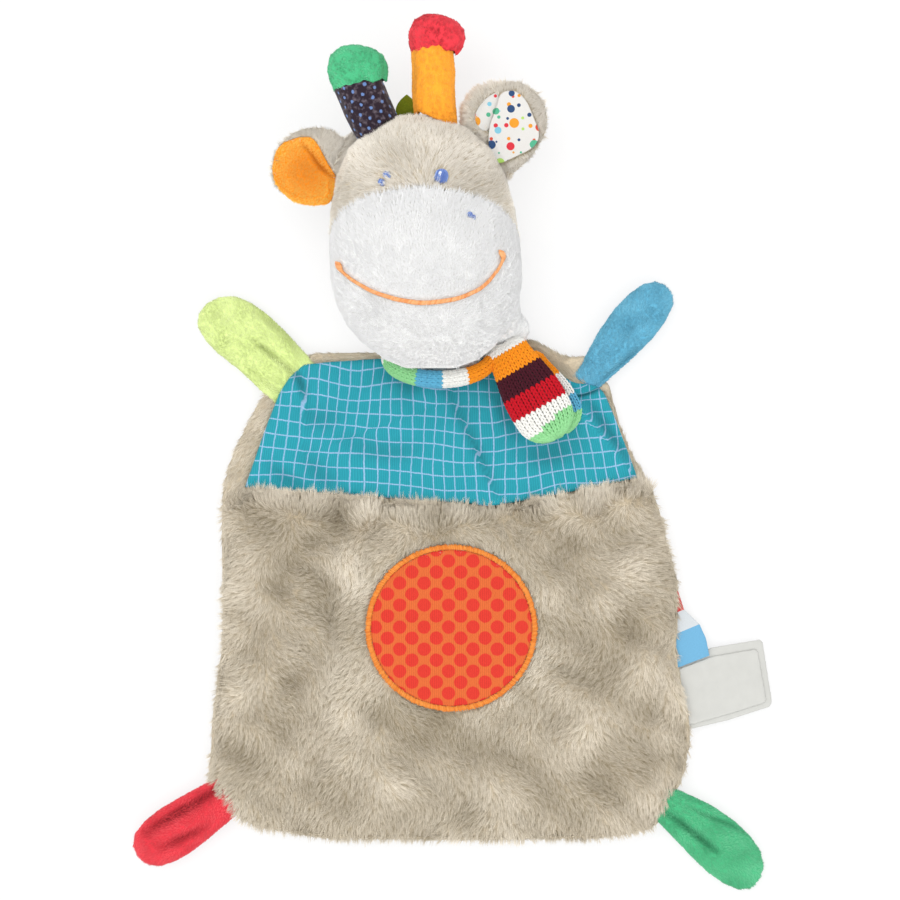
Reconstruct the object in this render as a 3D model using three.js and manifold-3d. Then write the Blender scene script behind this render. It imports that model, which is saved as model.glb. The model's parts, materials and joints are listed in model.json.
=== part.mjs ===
// Patchwork plush giraffe: a flat comforter toy with a stuffed head, lying on its back.
// Millimetres. +X is to the right as seen from above, +Y runs towards the head, +Z points up.

import * as THREE from "three";
import { mergeVertices } from "three/addons/utils/BufferGeometryUtils.js";
import Module from "manifold-3d";

const wasm = await Module();
wasm.setup();

// Gap between neighbouring pieces
const clearance = 0.3;

// Blanket: each corner seam is the pair of points between which a limb is sewn in
const leftShoulder = [[-46.9, 33], [-63.2, 19.7]];
const leftHip = [[-82, -111.2], [-72.1, -125]];
const rightHip = [[70.7, -127], [78.5, -113.2]];
const rightShoulder = [[54.1, 22.8], [43.2, 30.6]];
const leftSide = [[-75.5, -5], [-78, -28], [-77.3, -60], [-81, -92]];
const rightSide = [[82, -96], [79, -64], [71.5, -20], [60, 3]];
const hem = [[-44, -131.8], [51, -131.8]];
const neckline = [[27, 34.5], [-3.5, 32.5], [-22, 33.5]];
const backThickness = 4.2;
const backEdgeRound = 2;
const frontRimHeight = 3;
const frontEdgeRound = 1.8;
const frontCrownHeight = 6;

// Yoke: its slanted sides and top edge, and the seam that it shares with the front panel
const yokeSeam = [[-69.5, -12.8], [3, -18], [17, -18.6], [63.6, -9.6]];
const yokeLeft = [[-49.3, 29], [-57.6, 19.5]];
const yokeRight = [[52, 20], [45.5, 27.5]];
const yokeTop = [[26, 31], [-22, 31]];
const yokeThickness = 2.4;
const yokeEdgeRound = 0.8;

// Round belly patch and its stitched border
const patchCentre = [0.5, -59.8];
const patchRadius = 26.4;
const patchThickness = 1;
const borderWidth = 2.2;
const borderHeight = 1.6;
const patchMargin = 3;

// Limbs: length from the corner seam, widest half width, sideways drift of the tip
const limbSizes = {
  left_arm: { seam: leftShoulder, length: 36, halfWidth: 11.2, drift: 6.5, colour: 0xd3ec7a },
  right_arm: { seam: rightShoulder, length: 38.5, halfWidth: 8.8, drift: -3, colour: 0x66aed4 },
  left_leg: { seam: leftHip, length: 35.5, halfWidth: 9.6, drift: -1, colour: 0xe63a45 },
  right_leg: { seam: rightHip, length: 39.5, halfWidth: 10.4, drift: -7, colour: 0x2fb26e },
};
const limbWaist = { reach: 0.3, spread: 0.7 };
const limbWidest = 0.64;
const limbTip = { reach: 0.91, width: 0.72 };
const limbRise = 5.4;
const limbWall = 1.2;
const limbPivot = 4.2;

// Neck and scarf band: a roll on the yoke, with a stub that leans up and back to the head
const neckCentreX = -3.5;
const neckSet = 1.5;
const neckRadius = 6.5;
const neckHalfLength = 14.5;
const neckLean = 53;
const stubHalfWidth = 9;
const stubHalfDepth = 3.6;
const bandThickness = 4.5;
const bandWidth = 6.4;
const bandSlack = 0.7;

// Head: an egg lying on its back, with a scoop under the chin for the neck and the scarf band
const headShift = -4.5;
const headRise = 29;
const headLean = -0.05;
const headHalfWidth = 32.6;
const headHalfDepth = 25.5;
const headFlat = 1;
const chinReach = 34;
const chinLift = 6;
const chinFullness = 2.2;
const crownReach = 55;
const crownFullness = 2.7;
const plushWall = 3;
const scoopMargin = 5.3;
const scoopSideMargin = 2.8;

// White muzzle: its seam as [distance above the head's centre, height] at the side and in front
const muzzleSide = [11, 25];
const muzzleFront = [26, 49];
const muzzleRearHeight = 15;

// Embroidered face, placed from the head's centre
const threadHeight = 0.9;
const stitchedSpots = {
  left_eye: { place: [-13.2, 28.1], size: [2.2, 2.7], colour: 0x5b7cc8 },
  right_eye: { place: [5.1, 28.7], size: [2.5, 2.7], colour: 0x5b7cc8 },
  left_nostril: { place: [-21.4, 13.2], size: [1.3, 1.9], colour: 0x5b7cc8 },
  right_nostril: { place: [14.8, 16.1], size: [1.5, 1.5], colour: 0x5b7cc8 },
};
const smileCentre = [-2.2, 6];
const smileHalfWidth = 27.9;
const smileDepth = 19.8;
const smileWidth = 1.6;
const smileFrom = 197;
const smileTo = 345;

// Ears: the height above the head's centre where each root is sewn, and the leaf that grows from it
const earHalfWidth = 13.4;
const earWidest = 0.37;
const earTip = { reach: 0.82, width: 0.72 };
const earMiddle = 0.45;
const earSeat = 0.5;
const earDepth = 4.2;
const earRim = 1;
const earRimWidth = 1.6;
const liningRise = 1.8;
const earSizes = {
  left: {
    side: -1,
    length: 21,
    rootRise: 32.5,
    rootLift: 10,
    rootDrop: 10,
    heading: 158,
    drift: 2.5,
    lining: 0xff9726,
  },
  right: {
    side: 1,
    length: 22.5,
    rootRise: 42,
    rootLift: 7,
    rootDrop: 12,
    heading: 38.5,
    drift: -2.5,
    lining: 0xf4f1ec,
  },
};

// Horns: a stem and a round cap along one bent spine, placed from the top of the crown
const hornLift = 1.5;
const hornWall = 1.4;
const hornSwing = [-25, 25];
const hornHingeShare = 0.7;
const capShares = [0.16, 0.42, 0.72, 0.92];
const capBulge = { widest: 0.42, spread: 0.6, fullness: 2.3 };
const capTipShare = 0.16;
const hornSizes = {
  left: {
    spine: [[-10.1, -14.6], [-22.3, 4.5], [-20.3, 19]],
    stemBase: 7.2,
    stemTop: 8.6,
    stemShare: 0.56,
    capRadius: 10,
    stem: 0x3a2a3e,
    cap: 0x2fb062,
  },
  right: {
    spine: [[6.2, -10.5], [3.5, 13], [7.6, 29.2]],
    stemBase: 7,
    stemTop: 7.4,
    stemShare: 0.62,
    capRadius: 9.5,
    stem: 0xff9526,
    cap: 0xe03b45,
  },
};

// Felt leaf behind the horns, placed from the top of the crown
const leafBase = [-3.7, -5.5];
const leafDrop = 9;
const leafLength = 9.5;
const leafHalfWidth = 4;
const leafBelly = 6.4;
const leafHinge = 1.9;
const leafThickness = 1.2;
const leafSwing = [-20, 20];

// Loose ends of the scarf
const tailHeading = -60;
const tailLength = 33;
const tailRootHalf = 6;
const tailEndHalf = 9.4;
const tailWaist = { reach: 0.55, spread: 0.75 };
const tailTip = { reach: 0.88, width: 0.86 };
const tailSet = -1;
const rearTailThickness = 5;
const rearTailShift = [2.6, 1.2];
const frontTailThickness = 7.6;

// Side tabs: the stretch of the right seam that holds each, its reach and its slant at both ends
const careLabel = { seam: [-75, -94.5], reach: [26, 27.5], slant: [9, 8], thickness: 0.8, droop: 5 };
const ribbonTab = { seam: [-49, -73], reach: [3.4, 8.6], slant: [-7, 4.5], thickness: 1, droop: 2 };

// Fabrics
const beigePlush = 0xc2b7a6;
const whitePlush = 0xf3f3f1;
const fibre = 0xf7f5ef;

const toy = new THREE.Group();
const hinges = {};

function piece(name, geometry, colour, roughness = 0.95) {
  const material = new THREE.MeshStandardMaterial({ color: colour, roughness, metalness: 0 });
  const mesh = new THREE.Mesh(geometry, material);
  mesh.name = name;
  toy.add(mesh);
}

// Solids for cutting and joining
function solid(geometry) {
  const bare = new THREE.BufferGeometry();
  bare.setAttribute("position", geometry.getAttribute("position").clone());
  bare.setIndex(geometry.getIndex());
  const merged = mergeVertices(bare, 1e-4);
  return new wasm.Manifold(
    new wasm.Mesh({
      numProp: 3,
      vertProperties: new Float32Array(merged.getAttribute("position").array),
      triVerts: new Uint32Array(merged.getIndex().array),
    }),
  );
}

function surface(body) {
  const mesh = body.getMesh();
  const geometry = new THREE.BufferGeometry();
  geometry.setAttribute("position", new THREE.BufferAttribute(mesh.vertProperties, 3));
  geometry.setIndex(new THREE.BufferAttribute(mesh.triVerts, 1));
  geometry.computeVertexNormals();
  return geometry;
}

// A closed skin over a stack of rings: its ends are fans, or its last ring runs back to the first
function skin(rings, loop = false) {
  const count = rings[0].length;
  const points = rings.flat();
  const faces = [];
  const bands = loop ? rings.length : rings.length - 1;
  for (let band = 0; band < bands; band++) {
    const low = band * count;
    const high = ((band + 1) % rings.length) * count;
    for (let i = 0; i < count; i++) {
      const next = (i + 1) % count;
      faces.push(low + i, low + next, high + next, low + i, high + next, high + i);
    }
  }
  if (!loop) {
    const last = bands * count;
    const start = points.push(middle(rings[0])) - 1;
    const end = points.push(middle(rings[bands])) - 1;
    for (let i = 0; i < count; i++) {
      const next = (i + 1) % count;
      faces.push(start, next, i, end, last + i, last + next);
    }
  }
  const geometry = new THREE.BufferGeometry().setFromPoints(points);
  geometry.setIndex(faces);
  geometry.computeVertexNormals();
  return geometry;
}

const middle = (ring) =>
  ring.reduce((sum, p) => sum.add(p), new THREE.Vector3()).divideScalar(ring.length);

const flat = ([x, y]) => new THREE.Vector2(x, y);

const heading = (degrees) => {
  const angle = THREE.MathUtils.degToRad(degrees);
  return new THREE.Vector2(Math.cos(angle), Math.sin(angle));
};

// Points along a smooth curve through a few places, without its last point
function curveThrough(places, steps) {
  return new THREE.SplineCurve(places.map(flat)).getPoints(steps).slice(0, -1);
}

// A ring of an outline drawn in towards its centre, at height z
function ringAt(outline, centre, inset, z, share = 1) {
  return outline.map((p) => {
    const arm = p.clone().sub(centre);
    arm.setLength(arm.length() * share - inset).add(centre);
    return new THREE.Vector3(arm.x, arm.y, z);
  });
}

// Height share of a stuffed form from its middle, 0, to its edge, 1
const swell = (share, fullness = 2.4) => Math.sqrt(1 - share ** fullness);

function turned(geometry, hinge, degrees) {
  const angle = THREE.MathUtils.degToRad(degrees);
  const turn = new THREE.Matrix4().makeRotationAxis(hinge.axis, angle);
  const [x, y, z] = hinge.at.toArray();
  return geometry.clone().translate(-x, -y, -z).applyMatrix4(turn).translate(x, y, z);
}

// A piece cut clear of a larger one at rest and over its swing
function clearOf(geometry, larger, hinge, swing) {
  const angles = [0, ...swing.flatMap((end) => [end / 2, end])];
  return angles.reduce(
    (left, angle) => left.subtract(solid(turned(larger, hinge, -angle))),
    solid(geometry),
  );
}

// Blanket
const sideSteps = 12;
const endSteps = 6;
const blanketEdge = [
  ...curveThrough([leftShoulder[1], ...leftSide, leftHip[0]], sideSteps),
  flat(leftHip[0]),
  ...curveThrough([leftHip[1], ...hem, rightHip[0]], endSteps),
  flat(rightHip[0]),
  ...curveThrough([rightHip[1], ...rightSide, rightShoulder[0]], sideSteps),
  flat(rightShoulder[0]),
  ...curveThrough([rightShoulder[1], ...neckline, leftShoulder[0]], endSteps),
  flat(leftShoulder[0]),
];
const blanketCentre = flat(patchCentre);
const seamHeight = backThickness + clearance;

piece(
  "back_panel",
  skin([
    ringAt(blanketEdge, blanketCentre, backEdgeRound, 0),
    ringAt(blanketEdge, blanketCentre, backEdgeRound / 5, backThickness / 2),
    ringAt(blanketEdge, blanketCentre, 0, backThickness),
  ]),
  beigePlush,
);

// Yoke
const seamSteps = 14;
const seamLine = new THREE.SplineCurve(yokeSeam.map(flat)).getPoints(seamSteps);
const seamEnd = yokeSeam.length - 1;
const yokeEdge = [
  ...seamLine.slice(0, -1),
  ...curveThrough([yokeSeam[seamEnd], ...yokeRight], endSteps),
  ...curveThrough([yokeRight[1], ...yokeTop, yokeLeft[0]], endSteps),
  ...curveThrough([...yokeLeft, yokeSeam[0]], endSteps),
];
const yokeCentre = new THREE.Vector2(neckCentreX, (yokeTop[0][1] + yokeSeam[1][1]) / 2);
const yokeTopHeight = seamHeight + yokeThickness;

piece(
  "yoke_panel",
  skin([
    ringAt(yokeEdge, yokeCentre, 0, seamHeight),
    ringAt(yokeEdge, yokeCentre, 0, yokeTopHeight - yokeEdgeRound),
    ringAt(yokeEdge, yokeCentre, yokeEdgeRound, yokeTopHeight),
  ]),
  0x2a9fb0,
  0.8,
);

// Front panel: it starts below the yoke's seam and is flat on top under the patch
function seamAt(x) {
  const after = seamLine.findIndex((p) => p.x > x);
  if (after === 0) return seamLine[0].y;
  if (after < 0) return seamLine[seamLine.length - 1].y;
  const before = seamLine[after - 1];
  const share = (x - before.x) / (seamLine[after].x - before.x);
  return THREE.MathUtils.lerp(before.y, seamLine[after].y, share);
}

const frontEdge = [
  ...blanketEdge.filter((p) => p.y < seamAt(p.x) - clearance),
  ...seamLine.map((p) => new THREE.Vector2(p.x, p.y - clearance)).reverse(),
];
const frontRimTop = seamHeight + frontRimHeight;
const frontTop = seamHeight + frontCrownHeight;
const borderInner = patchRadius + clearance;
const borderOuter = borderInner + borderWidth;
const frontRim = ringAt(frontEdge, blanketCentre, frontEdgeRound, frontRimTop);
const frontFlat = frontRim.map((p) => {
  const arm = new THREE.Vector2(p.x, p.y).sub(blanketCentre).setLength(borderOuter + patchMargin);
  return new THREE.Vector3(arm.x + blanketCentre.x, arm.y + blanketCentre.y, frontTop);
});
const frontRiseShares = [0.3, 0.65];
const frontRise = frontRiseShares.map((share) =>
  frontRim.map((p, i) => {
    const point = p.clone().lerp(frontFlat[i], share);
    point.z = THREE.MathUtils.lerp(frontRimTop, frontTop, swell(1 - share, 2));
    return point;
  }),
);

piece(
  "front_panel",
  skin([
    ringAt(frontEdge, blanketCentre, 0, seamHeight),
    ringAt(frontEdge, blanketCentre, frontEdgeRound / 4, seamHeight + frontRimHeight / 2),
    frontRim,
    ...frontRise,
    frontFlat,
  ]),
  beigePlush,
);

// Belly patch and its raised border, turned about the patch's middle
const patchSteps = 30;
function patchRing(profile) {
  return new THREE.LatheGeometry(profile.map(flat), patchSteps)
    .rotateX(Math.PI / 2)
    .translate(blanketCentre.x, blanketCentre.y, frontTop + clearance);
}

piece(
  "belly_patch",
  patchRing([[0, 0], [patchRadius, 0], [patchRadius, patchThickness], [0, patchThickness]]),
  0xea5a34,
  0.8,
);
const borderMiddle = borderInner + borderWidth / 2;
piece(
  "patch_border",
  patchRing([
    [borderInner, 0],
    [borderOuter, 0],
    [borderOuter, borderHeight / 2],
    [borderMiddle, borderHeight],
    [borderInner, borderHeight / 2],
    [borderInner, 0],
  ]),
  0xf08a32,
  0.6,
);

// Limbs: two swelling velour layers that meet at the seam, with a lens of filling between them
const limbShares = [0.35, 0.7, 0.92];
const limbSteps = 14;
for (const [name, limb] of Object.entries(limbSizes)) {
  const [from, to] = limb.seam.map(flat);
  const along = to.clone().sub(from).normalize();
  const outward = new THREE.Vector2(along.y, -along.x);
  const root = from.clone().add(to).divideScalar(2);
  const rootHalf = from.distanceTo(to) / 2 - clearance;
  const place = (reach, side) =>
    root
      .clone()
      .addScaledVector(outward, reach)
      .addScaledVector(along, side + (limb.drift * reach) / limb.length);
  const waistHalf = THREE.MathUtils.lerp(rootHalf, limb.halfWidth, limbWaist.spread);
  const edgeOf = (side) => [
    place(clearance, side * rootHalf),
    place(limb.length * limbWaist.reach, side * waistHalf),
    place(limb.length * limbWidest, side * limb.halfWidth),
    place(limb.length * limbTip.reach, side * limb.halfWidth * limbTip.width),
  ];
  const edge = new THREE.SplineCurve([
    ...edgeOf(-1),
    place(limb.length, 0),
    ...edgeOf(1).reverse(),
  ]).getPoints(limbSteps);
  const centre = place(limb.length / 2, 0);
  const layer = (inset, floor, rise) =>
    limbShares.map((share) => ringAt(edge, centre, inset * share, floor + rise * swell(share), share));
  const rim = (inset, z) => ringAt(edge, centre, inset, z);
  const drop = backThickness - clearance;
  piece(
    name + "_front",
    skin([
      ...layer(limbWall, seamHeight, limbRise - limbWall),
      rim(limbWall, seamHeight),
      rim(0, seamHeight),
      ...layer(0, seamHeight, limbRise).reverse(),
    ]),
    limb.colour,
  );
  piece(
    name + "_back",
    skin([
      ...layer(0, backThickness, -drop),
      rim(0, backThickness),
      rim(limbWall, backThickness),
      ...layer(limbWall, backThickness, limbWall - drop).reverse(),
    ]),
    limb.colour,
  );
  const inside = limbWall + clearance;
  const fillMiddle = (backThickness + seamHeight) / 2;
  piece(
    name + "_filling",
    skin([
      ...layer(inside, backThickness, inside - drop).slice(0, -1),
      rim(inside * 2, fillMiddle),
      ...layer(inside, seamHeight, limbRise - inside).slice(0, -1).reverse(),
    ]),
    fibre,
  );
  const pivot = root.clone().addScaledVector(outward, limbPivot);
  hinges[name + "_fold"] = {
    at: new THREE.Vector3(pivot.x, pivot.y, fillMiddle),
    axis: new THREE.Vector3(-along.x, -along.y, 0),
  };
}

// Neck: a roll about X on the yoke, and a flat stub that leans back into the head
const neckCentre = new THREE.Vector3(
  neckCentreX,
  neckline[1][1] - neckSet,
  yokeTopHeight + clearance + neckRadius,
);
const leanAngle = THREE.MathUtils.degToRad(neckLean);
const neckAxis = new THREE.Vector3(0, Math.cos(leanAngle), Math.sin(leanAngle));
const neckFront = new THREE.Vector3(0, -Math.sin(leanAngle), Math.cos(leanAngle));
const sideways = new THREE.Vector3(1, 0, 0);
const bandOuter = neckRadius + bandSlack + bandThickness;
const bandOuterX = neckHalfLength + bandSlack + bandThickness;
const scoopRadius = bandOuter + scoopMargin;

// An oval ring in the plane across the neck, a distance along its axis
function neckRing(halfX, halfDepth, along, steps) {
  return Array.from({ length: steps }, (_, i) => {
    const angle = (2 * Math.PI * i) / steps;
    return neckCentre
      .clone()
      .addScaledVector(neckAxis, along)
      .addScaledVector(sideways, halfX * Math.cos(angle))
      .addScaledVector(neckFront, -halfDepth * Math.sin(angle));
  });
}

const rollSteps = 10;
const rollSides = 20;
const stubSides = 16;
const ballSides = 24;
const ballRings = 14;
const rollProfile = Array.from({ length: rollSteps + 1 }, (_, i) => {
  const angle = (Math.PI * i) / rollSteps;
  return new THREE.Vector2(neckRadius * Math.sin(angle), -neckHalfLength * Math.cos(angle));
});
rollProfile[0].x = 0;
rollProfile[rollSteps].x = 0;
const roll = new THREE.LatheGeometry(rollProfile, rollSides)
  .rotateZ(-Math.PI / 2)
  .translate(...neckCentre.toArray());
const stub = skin([
  neckRing(stubHalfWidth, stubHalfDepth, 0, stubSides),
  neckRing(stubHalfWidth, stubHalfDepth, scoopRadius, stubSides),
]);
const neckBall = new THREE.SphereGeometry(scoopRadius - clearance, ballSides, ballRings).translate(
  ...neckCentre.toArray(),
);
piece("neck", surface(solid(stub).intersect(solid(neckBall)).add(solid(roll))), beigePlush);
hinges.neck_nod = { at: neckCentre, axis: sideways };
hinges.head_turn = { at: neckCentre, axis: neckAxis };

// Scarf band round the neck: its rounded section in shares of half its thickness and half its width
const bandSides = 28;
const bandSide = [[-0.5, -1], [0.5, -1], [1, -0.6], [1, 0.6]];
const bandCorners = [...bandSide, ...bandSide.map(([out, along]) => [-out, -along])];
piece(
  "scarf_neckband",
  skin(
    bandCorners.map(([out, along]) =>
      neckRing(
        bandOuterX + ((out - 1) * bandThickness) / 2,
        bandOuter + ((out - 1) * bandThickness) / 2,
        (along * bandWidth) / 2,
        bandSides,
      ),
    ),
    true,
  ),
  0x8fd0c0,
);

// Head
const headCentre = new THREE.Vector2(neckCentreX + headShift, neckCentre.y + headRise);
const equator = headHalfDepth - headFlat;
const headMiddle = (y) => headCentre.x + headLean * (y - headCentre.y);
const headReach = (share, grow) => share * ((share < 0 ? chinReach : crownReach) + grow);
const headSwell = (share) => swell(Math.abs(share), share < 0 ? chinFullness : crownFullness);
const headSteps = 13;
const headSides = 24;

// The egg, grown outwards by a distance
function egg(grow) {
  const rings = [];
  for (let step = 1; step < headSteps; step++) {
    const share = -Math.cos((Math.PI * step) / headSteps);
    const y = headCentre.y + headReach(share, grow);
    const size = headSwell(share);
    const lift = share < 0 ? chinLift * share * share : 0;
    rings.push(
      Array.from({ length: headSides }, (_, i) => {
        const angle = (2 * Math.PI * i) / headSides;
        return new THREE.Vector3(
          headMiddle(y) + (headHalfWidth + grow) * size * Math.sin(angle),
          y,
          equator + lift + (headHalfDepth + grow) * size * Math.cos(angle),
        );
      }),
    );
  }
  return skin(rings);
}

// The egg drawn in by a depth, flat underneath and scooped for the neck
const farReach = 400;
function headForm(depth) {
  const scoop = new THREE.SphereGeometry(scoopRadius + depth, ballSides, ballRings)
    .scale((bandOuterX + scoopSideMargin + depth) / (scoopRadius + depth), 1, 1)
    .translate(...neckCentre.toArray());
  const under = new THREE.BoxGeometry(farReach, farReach, farReach).translate(
    0,
    0,
    depth - farReach / 2,
  );
  return solid(egg(-depth)).subtract(solid(scoop)).subtract(solid(under));
}

// Everything in front of and below the muzzle's seam, grown by a distance
function muzzleSpace(grow) {
  const slope = (muzzleFront[0] - muzzleSide[0]) / (muzzleFront[1] - muzzleSide[1]);
  const seamY = (z) => headCentre.y + muzzleSide[0] + slope * (z - muzzleSide[1]) + grow;
  const low = muzzleRearHeight - grow;
  const outline = [[-farReach, low], [seamY(low), low], [seamY(farReach), farReach], [-farReach, farReach]];
  const toSide = new THREE.Matrix4().makeBasis(
    new THREE.Vector3(0, 1, 0),
    new THREE.Vector3(0, 0, 1),
    new THREE.Vector3(1, 0, 0),
  );
  return new THREE.ExtrudeGeometry(new THREE.Shape(outline.map(flat)), {
    depth: farReach,
    bevelEnabled: false,
  })
    .translate(0, 0, -farReach / 2)
    .applyMatrix4(toSide);
}

const headCover = headForm(0).subtract(headForm(plushWall));
piece("muzzle_cover", surface(headCover.intersect(solid(muzzleSpace(0)))), whitePlush);
piece("head_crown", surface(headCover.subtract(solid(muzzleSpace(clearance)))), beigePlush);
piece("head_stuffing", surface(headForm(plushWall + clearance)), fibre);

// Embroidery: thin raised thread that follows the face
const threadLayer = solid(egg(clearance + threadHeight)).subtract(solid(egg(clearance)));
function stitched(name, shape, colour) {
  const column = new THREE.ExtrudeGeometry(shape, {
    depth: farReach,
    bevelEnabled: false,
    curveSegments: 10,
  }).translate(headCentre.x, headCentre.y, equator);
  piece(name, surface(threadLayer.intersect(solid(column))), colour, 0.5);
}

for (const [name, spot] of Object.entries(stitchedSpots)) {
  const shape = new THREE.Shape().absellipse(...spot.place, ...spot.size, 0, 2 * Math.PI);
  stitched(name, shape, spot.colour);
}

const smileAngles = [smileFrom, smileTo].map(THREE.MathUtils.degToRad);
const smile = new THREE.Shape()
  .absellipse(...smileCentre, smileHalfWidth, smileDepth, ...smileAngles, false)
  .absellipse(
    ...smileCentre,
    smileHalfWidth - smileWidth,
    smileDepth - smileWidth,
    ...smileAngles.toReversed(),
    true,
  );
stitched("smile_stitching", smile, 0xf09a4f);

// Ears: a shallow plush dish with a lining laid in it, its root following the side of the head
const headSide = (rise, side) => {
  const y = headCentre.y + rise;
  return new THREE.Vector2(headMiddle(y) + side * headHalfWidth * headSwell(rise / crownReach), y);
};
const earShares = [0.3, 0.65, 0.9];
const earFullness = 3;
const liningShares = [0.96, 0.7, 0.3];
const earSteps = 16;
for (const [side, ear] of Object.entries(earSizes)) {
  const outward = heading(ear.heading);
  const along = new THREE.Vector2(outward.y, -outward.x).multiplyScalar(ear.side);
  const root = headSide(ear.rootRise, ear.side).addScaledVector(outward, earSeat);
  const place = (reach, across) =>
    root
      .clone()
      .addScaledVector(outward, reach)
      .addScaledVector(along, across + (ear.drift * reach) / ear.length);
  const rootEnd = (rise) => headSide(ear.rootRise + rise, ear.side).addScaledVector(outward, earSeat);
  const half = (sign) => [
    place(ear.length * earWidest, sign * earHalfWidth),
    place(ear.length * earTip.reach, sign * earHalfWidth * earTip.width),
  ];
  const leaf = new THREE.SplineCurve([
    rootEnd(-ear.rootDrop),
    ...half(1),
    place(ear.length, 0),
    ...half(-1).reverse(),
    rootEnd(ear.rootLift),
  ]).getPoints(earSteps);
  const rootLine = [ear.rootLift / 2, 0, -ear.rootDrop / 2].map(rootEnd);
  const edge = [...leaf, ...rootLine];
  if (ear.side < 0) edge.reverse();
  const centre = place(ear.length * earMiddle, 0);
  const ring = (inset, z, share) => ringAt(edge, centre, inset, equator + z, share);
  piece(
    side + "_ear_outer",
    skin([
      ...earShares.map((share) => ring(0, -earDepth * swell(share, earFullness), share)),
      ring(0, 0),
      ring(earRimWidth / 3, earRim),
      ring((earRimWidth * 2) / 3, earRim),
      ring(earRimWidth, 0),
    ]),
    beigePlush,
  );
  const liningInset = earRimWidth + clearance;
  const liningAt = (share) => ring(liningInset * share, clearance + liningRise * swell(share), share);
  piece(
    side + "_ear_lining",
    skin([ring(liningInset, clearance), ...liningShares.map(liningAt)]),
    ear.lining,
  );
  hinges[side + "_ear_flap"] = {
    at: new THREE.Vector3(root.x, root.y, equator),
    axis: new THREE.Vector3(outward.y, -outward.x, 0),
  };
}

// Horns
const headClear = egg(clearance);
const crownTop = new THREE.Vector2(
  headMiddle(headCentre.y + crownReach),
  headCentre.y + crownReach,
);
const up = new THREE.Vector3(0, 0, 1);
const hornSides = 14;
for (const [side, horn] of Object.entries(hornSizes)) {
  const spine = new THREE.QuadraticBezierCurve3(
    ...horn.spine.map(([x, y]) => new THREE.Vector3(crownTop.x + x, crownTop.y + y, equator + hornLift)),
  );
  const ring = (share, radius) => {
    const tangent = spine.getTangent(Math.min(share, 1));
    const across = tangent.clone().cross(up);
    const at = spine.getPoint(Math.min(share, 1));
    return Array.from({ length: hornSides }, (_, i) => {
      const angle = (2 * Math.PI * i) / hornSides;
      return at
        .clone()
        .addScaledVector(up, radius * Math.cos(angle))
        .addScaledVector(across, radius * Math.sin(angle));
    });
  };
  const stemRadius = (share) =>
    THREE.MathUtils.lerp(horn.stemBase, horn.stemTop, share / horn.stemShare);
  const stemEnd = horn.stemShare;
  const stemMiddle = stemEnd / 2;
  const stem = skin(
    [
      ring(0, stemRadius(0) - hornWall),
      ring(0, stemRadius(0)),
      ring(stemMiddle, stemRadius(stemMiddle)),
      ring(stemEnd, stemRadius(stemEnd)),
      ring(stemEnd, stemRadius(stemEnd) - hornWall),
      ring(stemMiddle, stemRadius(stemMiddle) - hornWall),
    ],
    true,
  );
  const capStart = stemEnd + clearance / spine.getLength();
  const capAt = (share, inset) => {
    const end = 1 - inset / spine.getLength();
    const bulge = swell(Math.abs(share - capBulge.widest) / capBulge.spread, capBulge.fullness);
    return ring(THREE.MathUtils.lerp(capStart, end, share), (horn.capRadius - inset) * bulge);
  };
  const mouth = stemRadius(stemEnd);
  const cap = skin([
    ...capShares.toReversed().map((share) => capAt(share, hornWall)),
    ring(capStart, mouth - hornWall),
    ring(capStart, mouth),
    ...capShares.map((share) => capAt(share, 0)),
    ring(1, horn.capRadius * capTipShare),
  ]);
  const inside = hornWall + clearance;
  const stuffing = skin([
    ring(0, stemRadius(0) - inside),
    ring(stemMiddle, stemRadius(stemMiddle) - inside),
    ring(capStart, mouth - inside),
    ...capShares.map((share) => capAt(share, inside)),
  ]);
  const tangent = spine.getTangent(0);
  const crownExit = spine.getPoint(0).addScaledVector(tangent, horn.stemBase * hornHingeShare);
  const hinge = { at: crownExit, axis: tangent.clone().cross(up) };
  piece(side + "_horn_stem", surface(clearOf(stem, headClear, hinge, hornSwing)), horn.stem);
  piece(side + "_horn_cap", cap, horn.cap);
  piece(side + "_horn_stuffing", surface(clearOf(stuffing, headClear, hinge, hornSwing)), fibre);
  hinges[side + "_horn_bend"] = hinge;
}

// Felt leaf
const leafRoot = crownTop.clone().add(flat(leafBase));
const leafShape = new THREE.Shape()
  .moveTo(-leafHalfWidth / 2, 0)
  .lineTo(leafHalfWidth / 2, 0)
  .quadraticCurveTo(leafBelly, leafLength / 2, 0, leafLength)
  .quadraticCurveTo(-leafBelly, leafLength / 2, -leafHalfWidth / 2, 0);
const leaf = new THREE.ExtrudeGeometry(leafShape, {
  depth: leafThickness,
  bevelEnabled: false,
  curveSegments: 6,
}).translate(leafRoot.x, leafRoot.y, equator - leafDrop);
hinges.mane_leaf_bend = {
  at: new THREE.Vector3(leafRoot.x, leafRoot.y + leafHinge, equator - leafDrop),
  axis: sideways,
};
piece("mane_leaf", surface(clearOf(leaf, headClear, hinges.mane_leaf_bend, leafSwing)), 0x7a8a1c);

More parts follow.
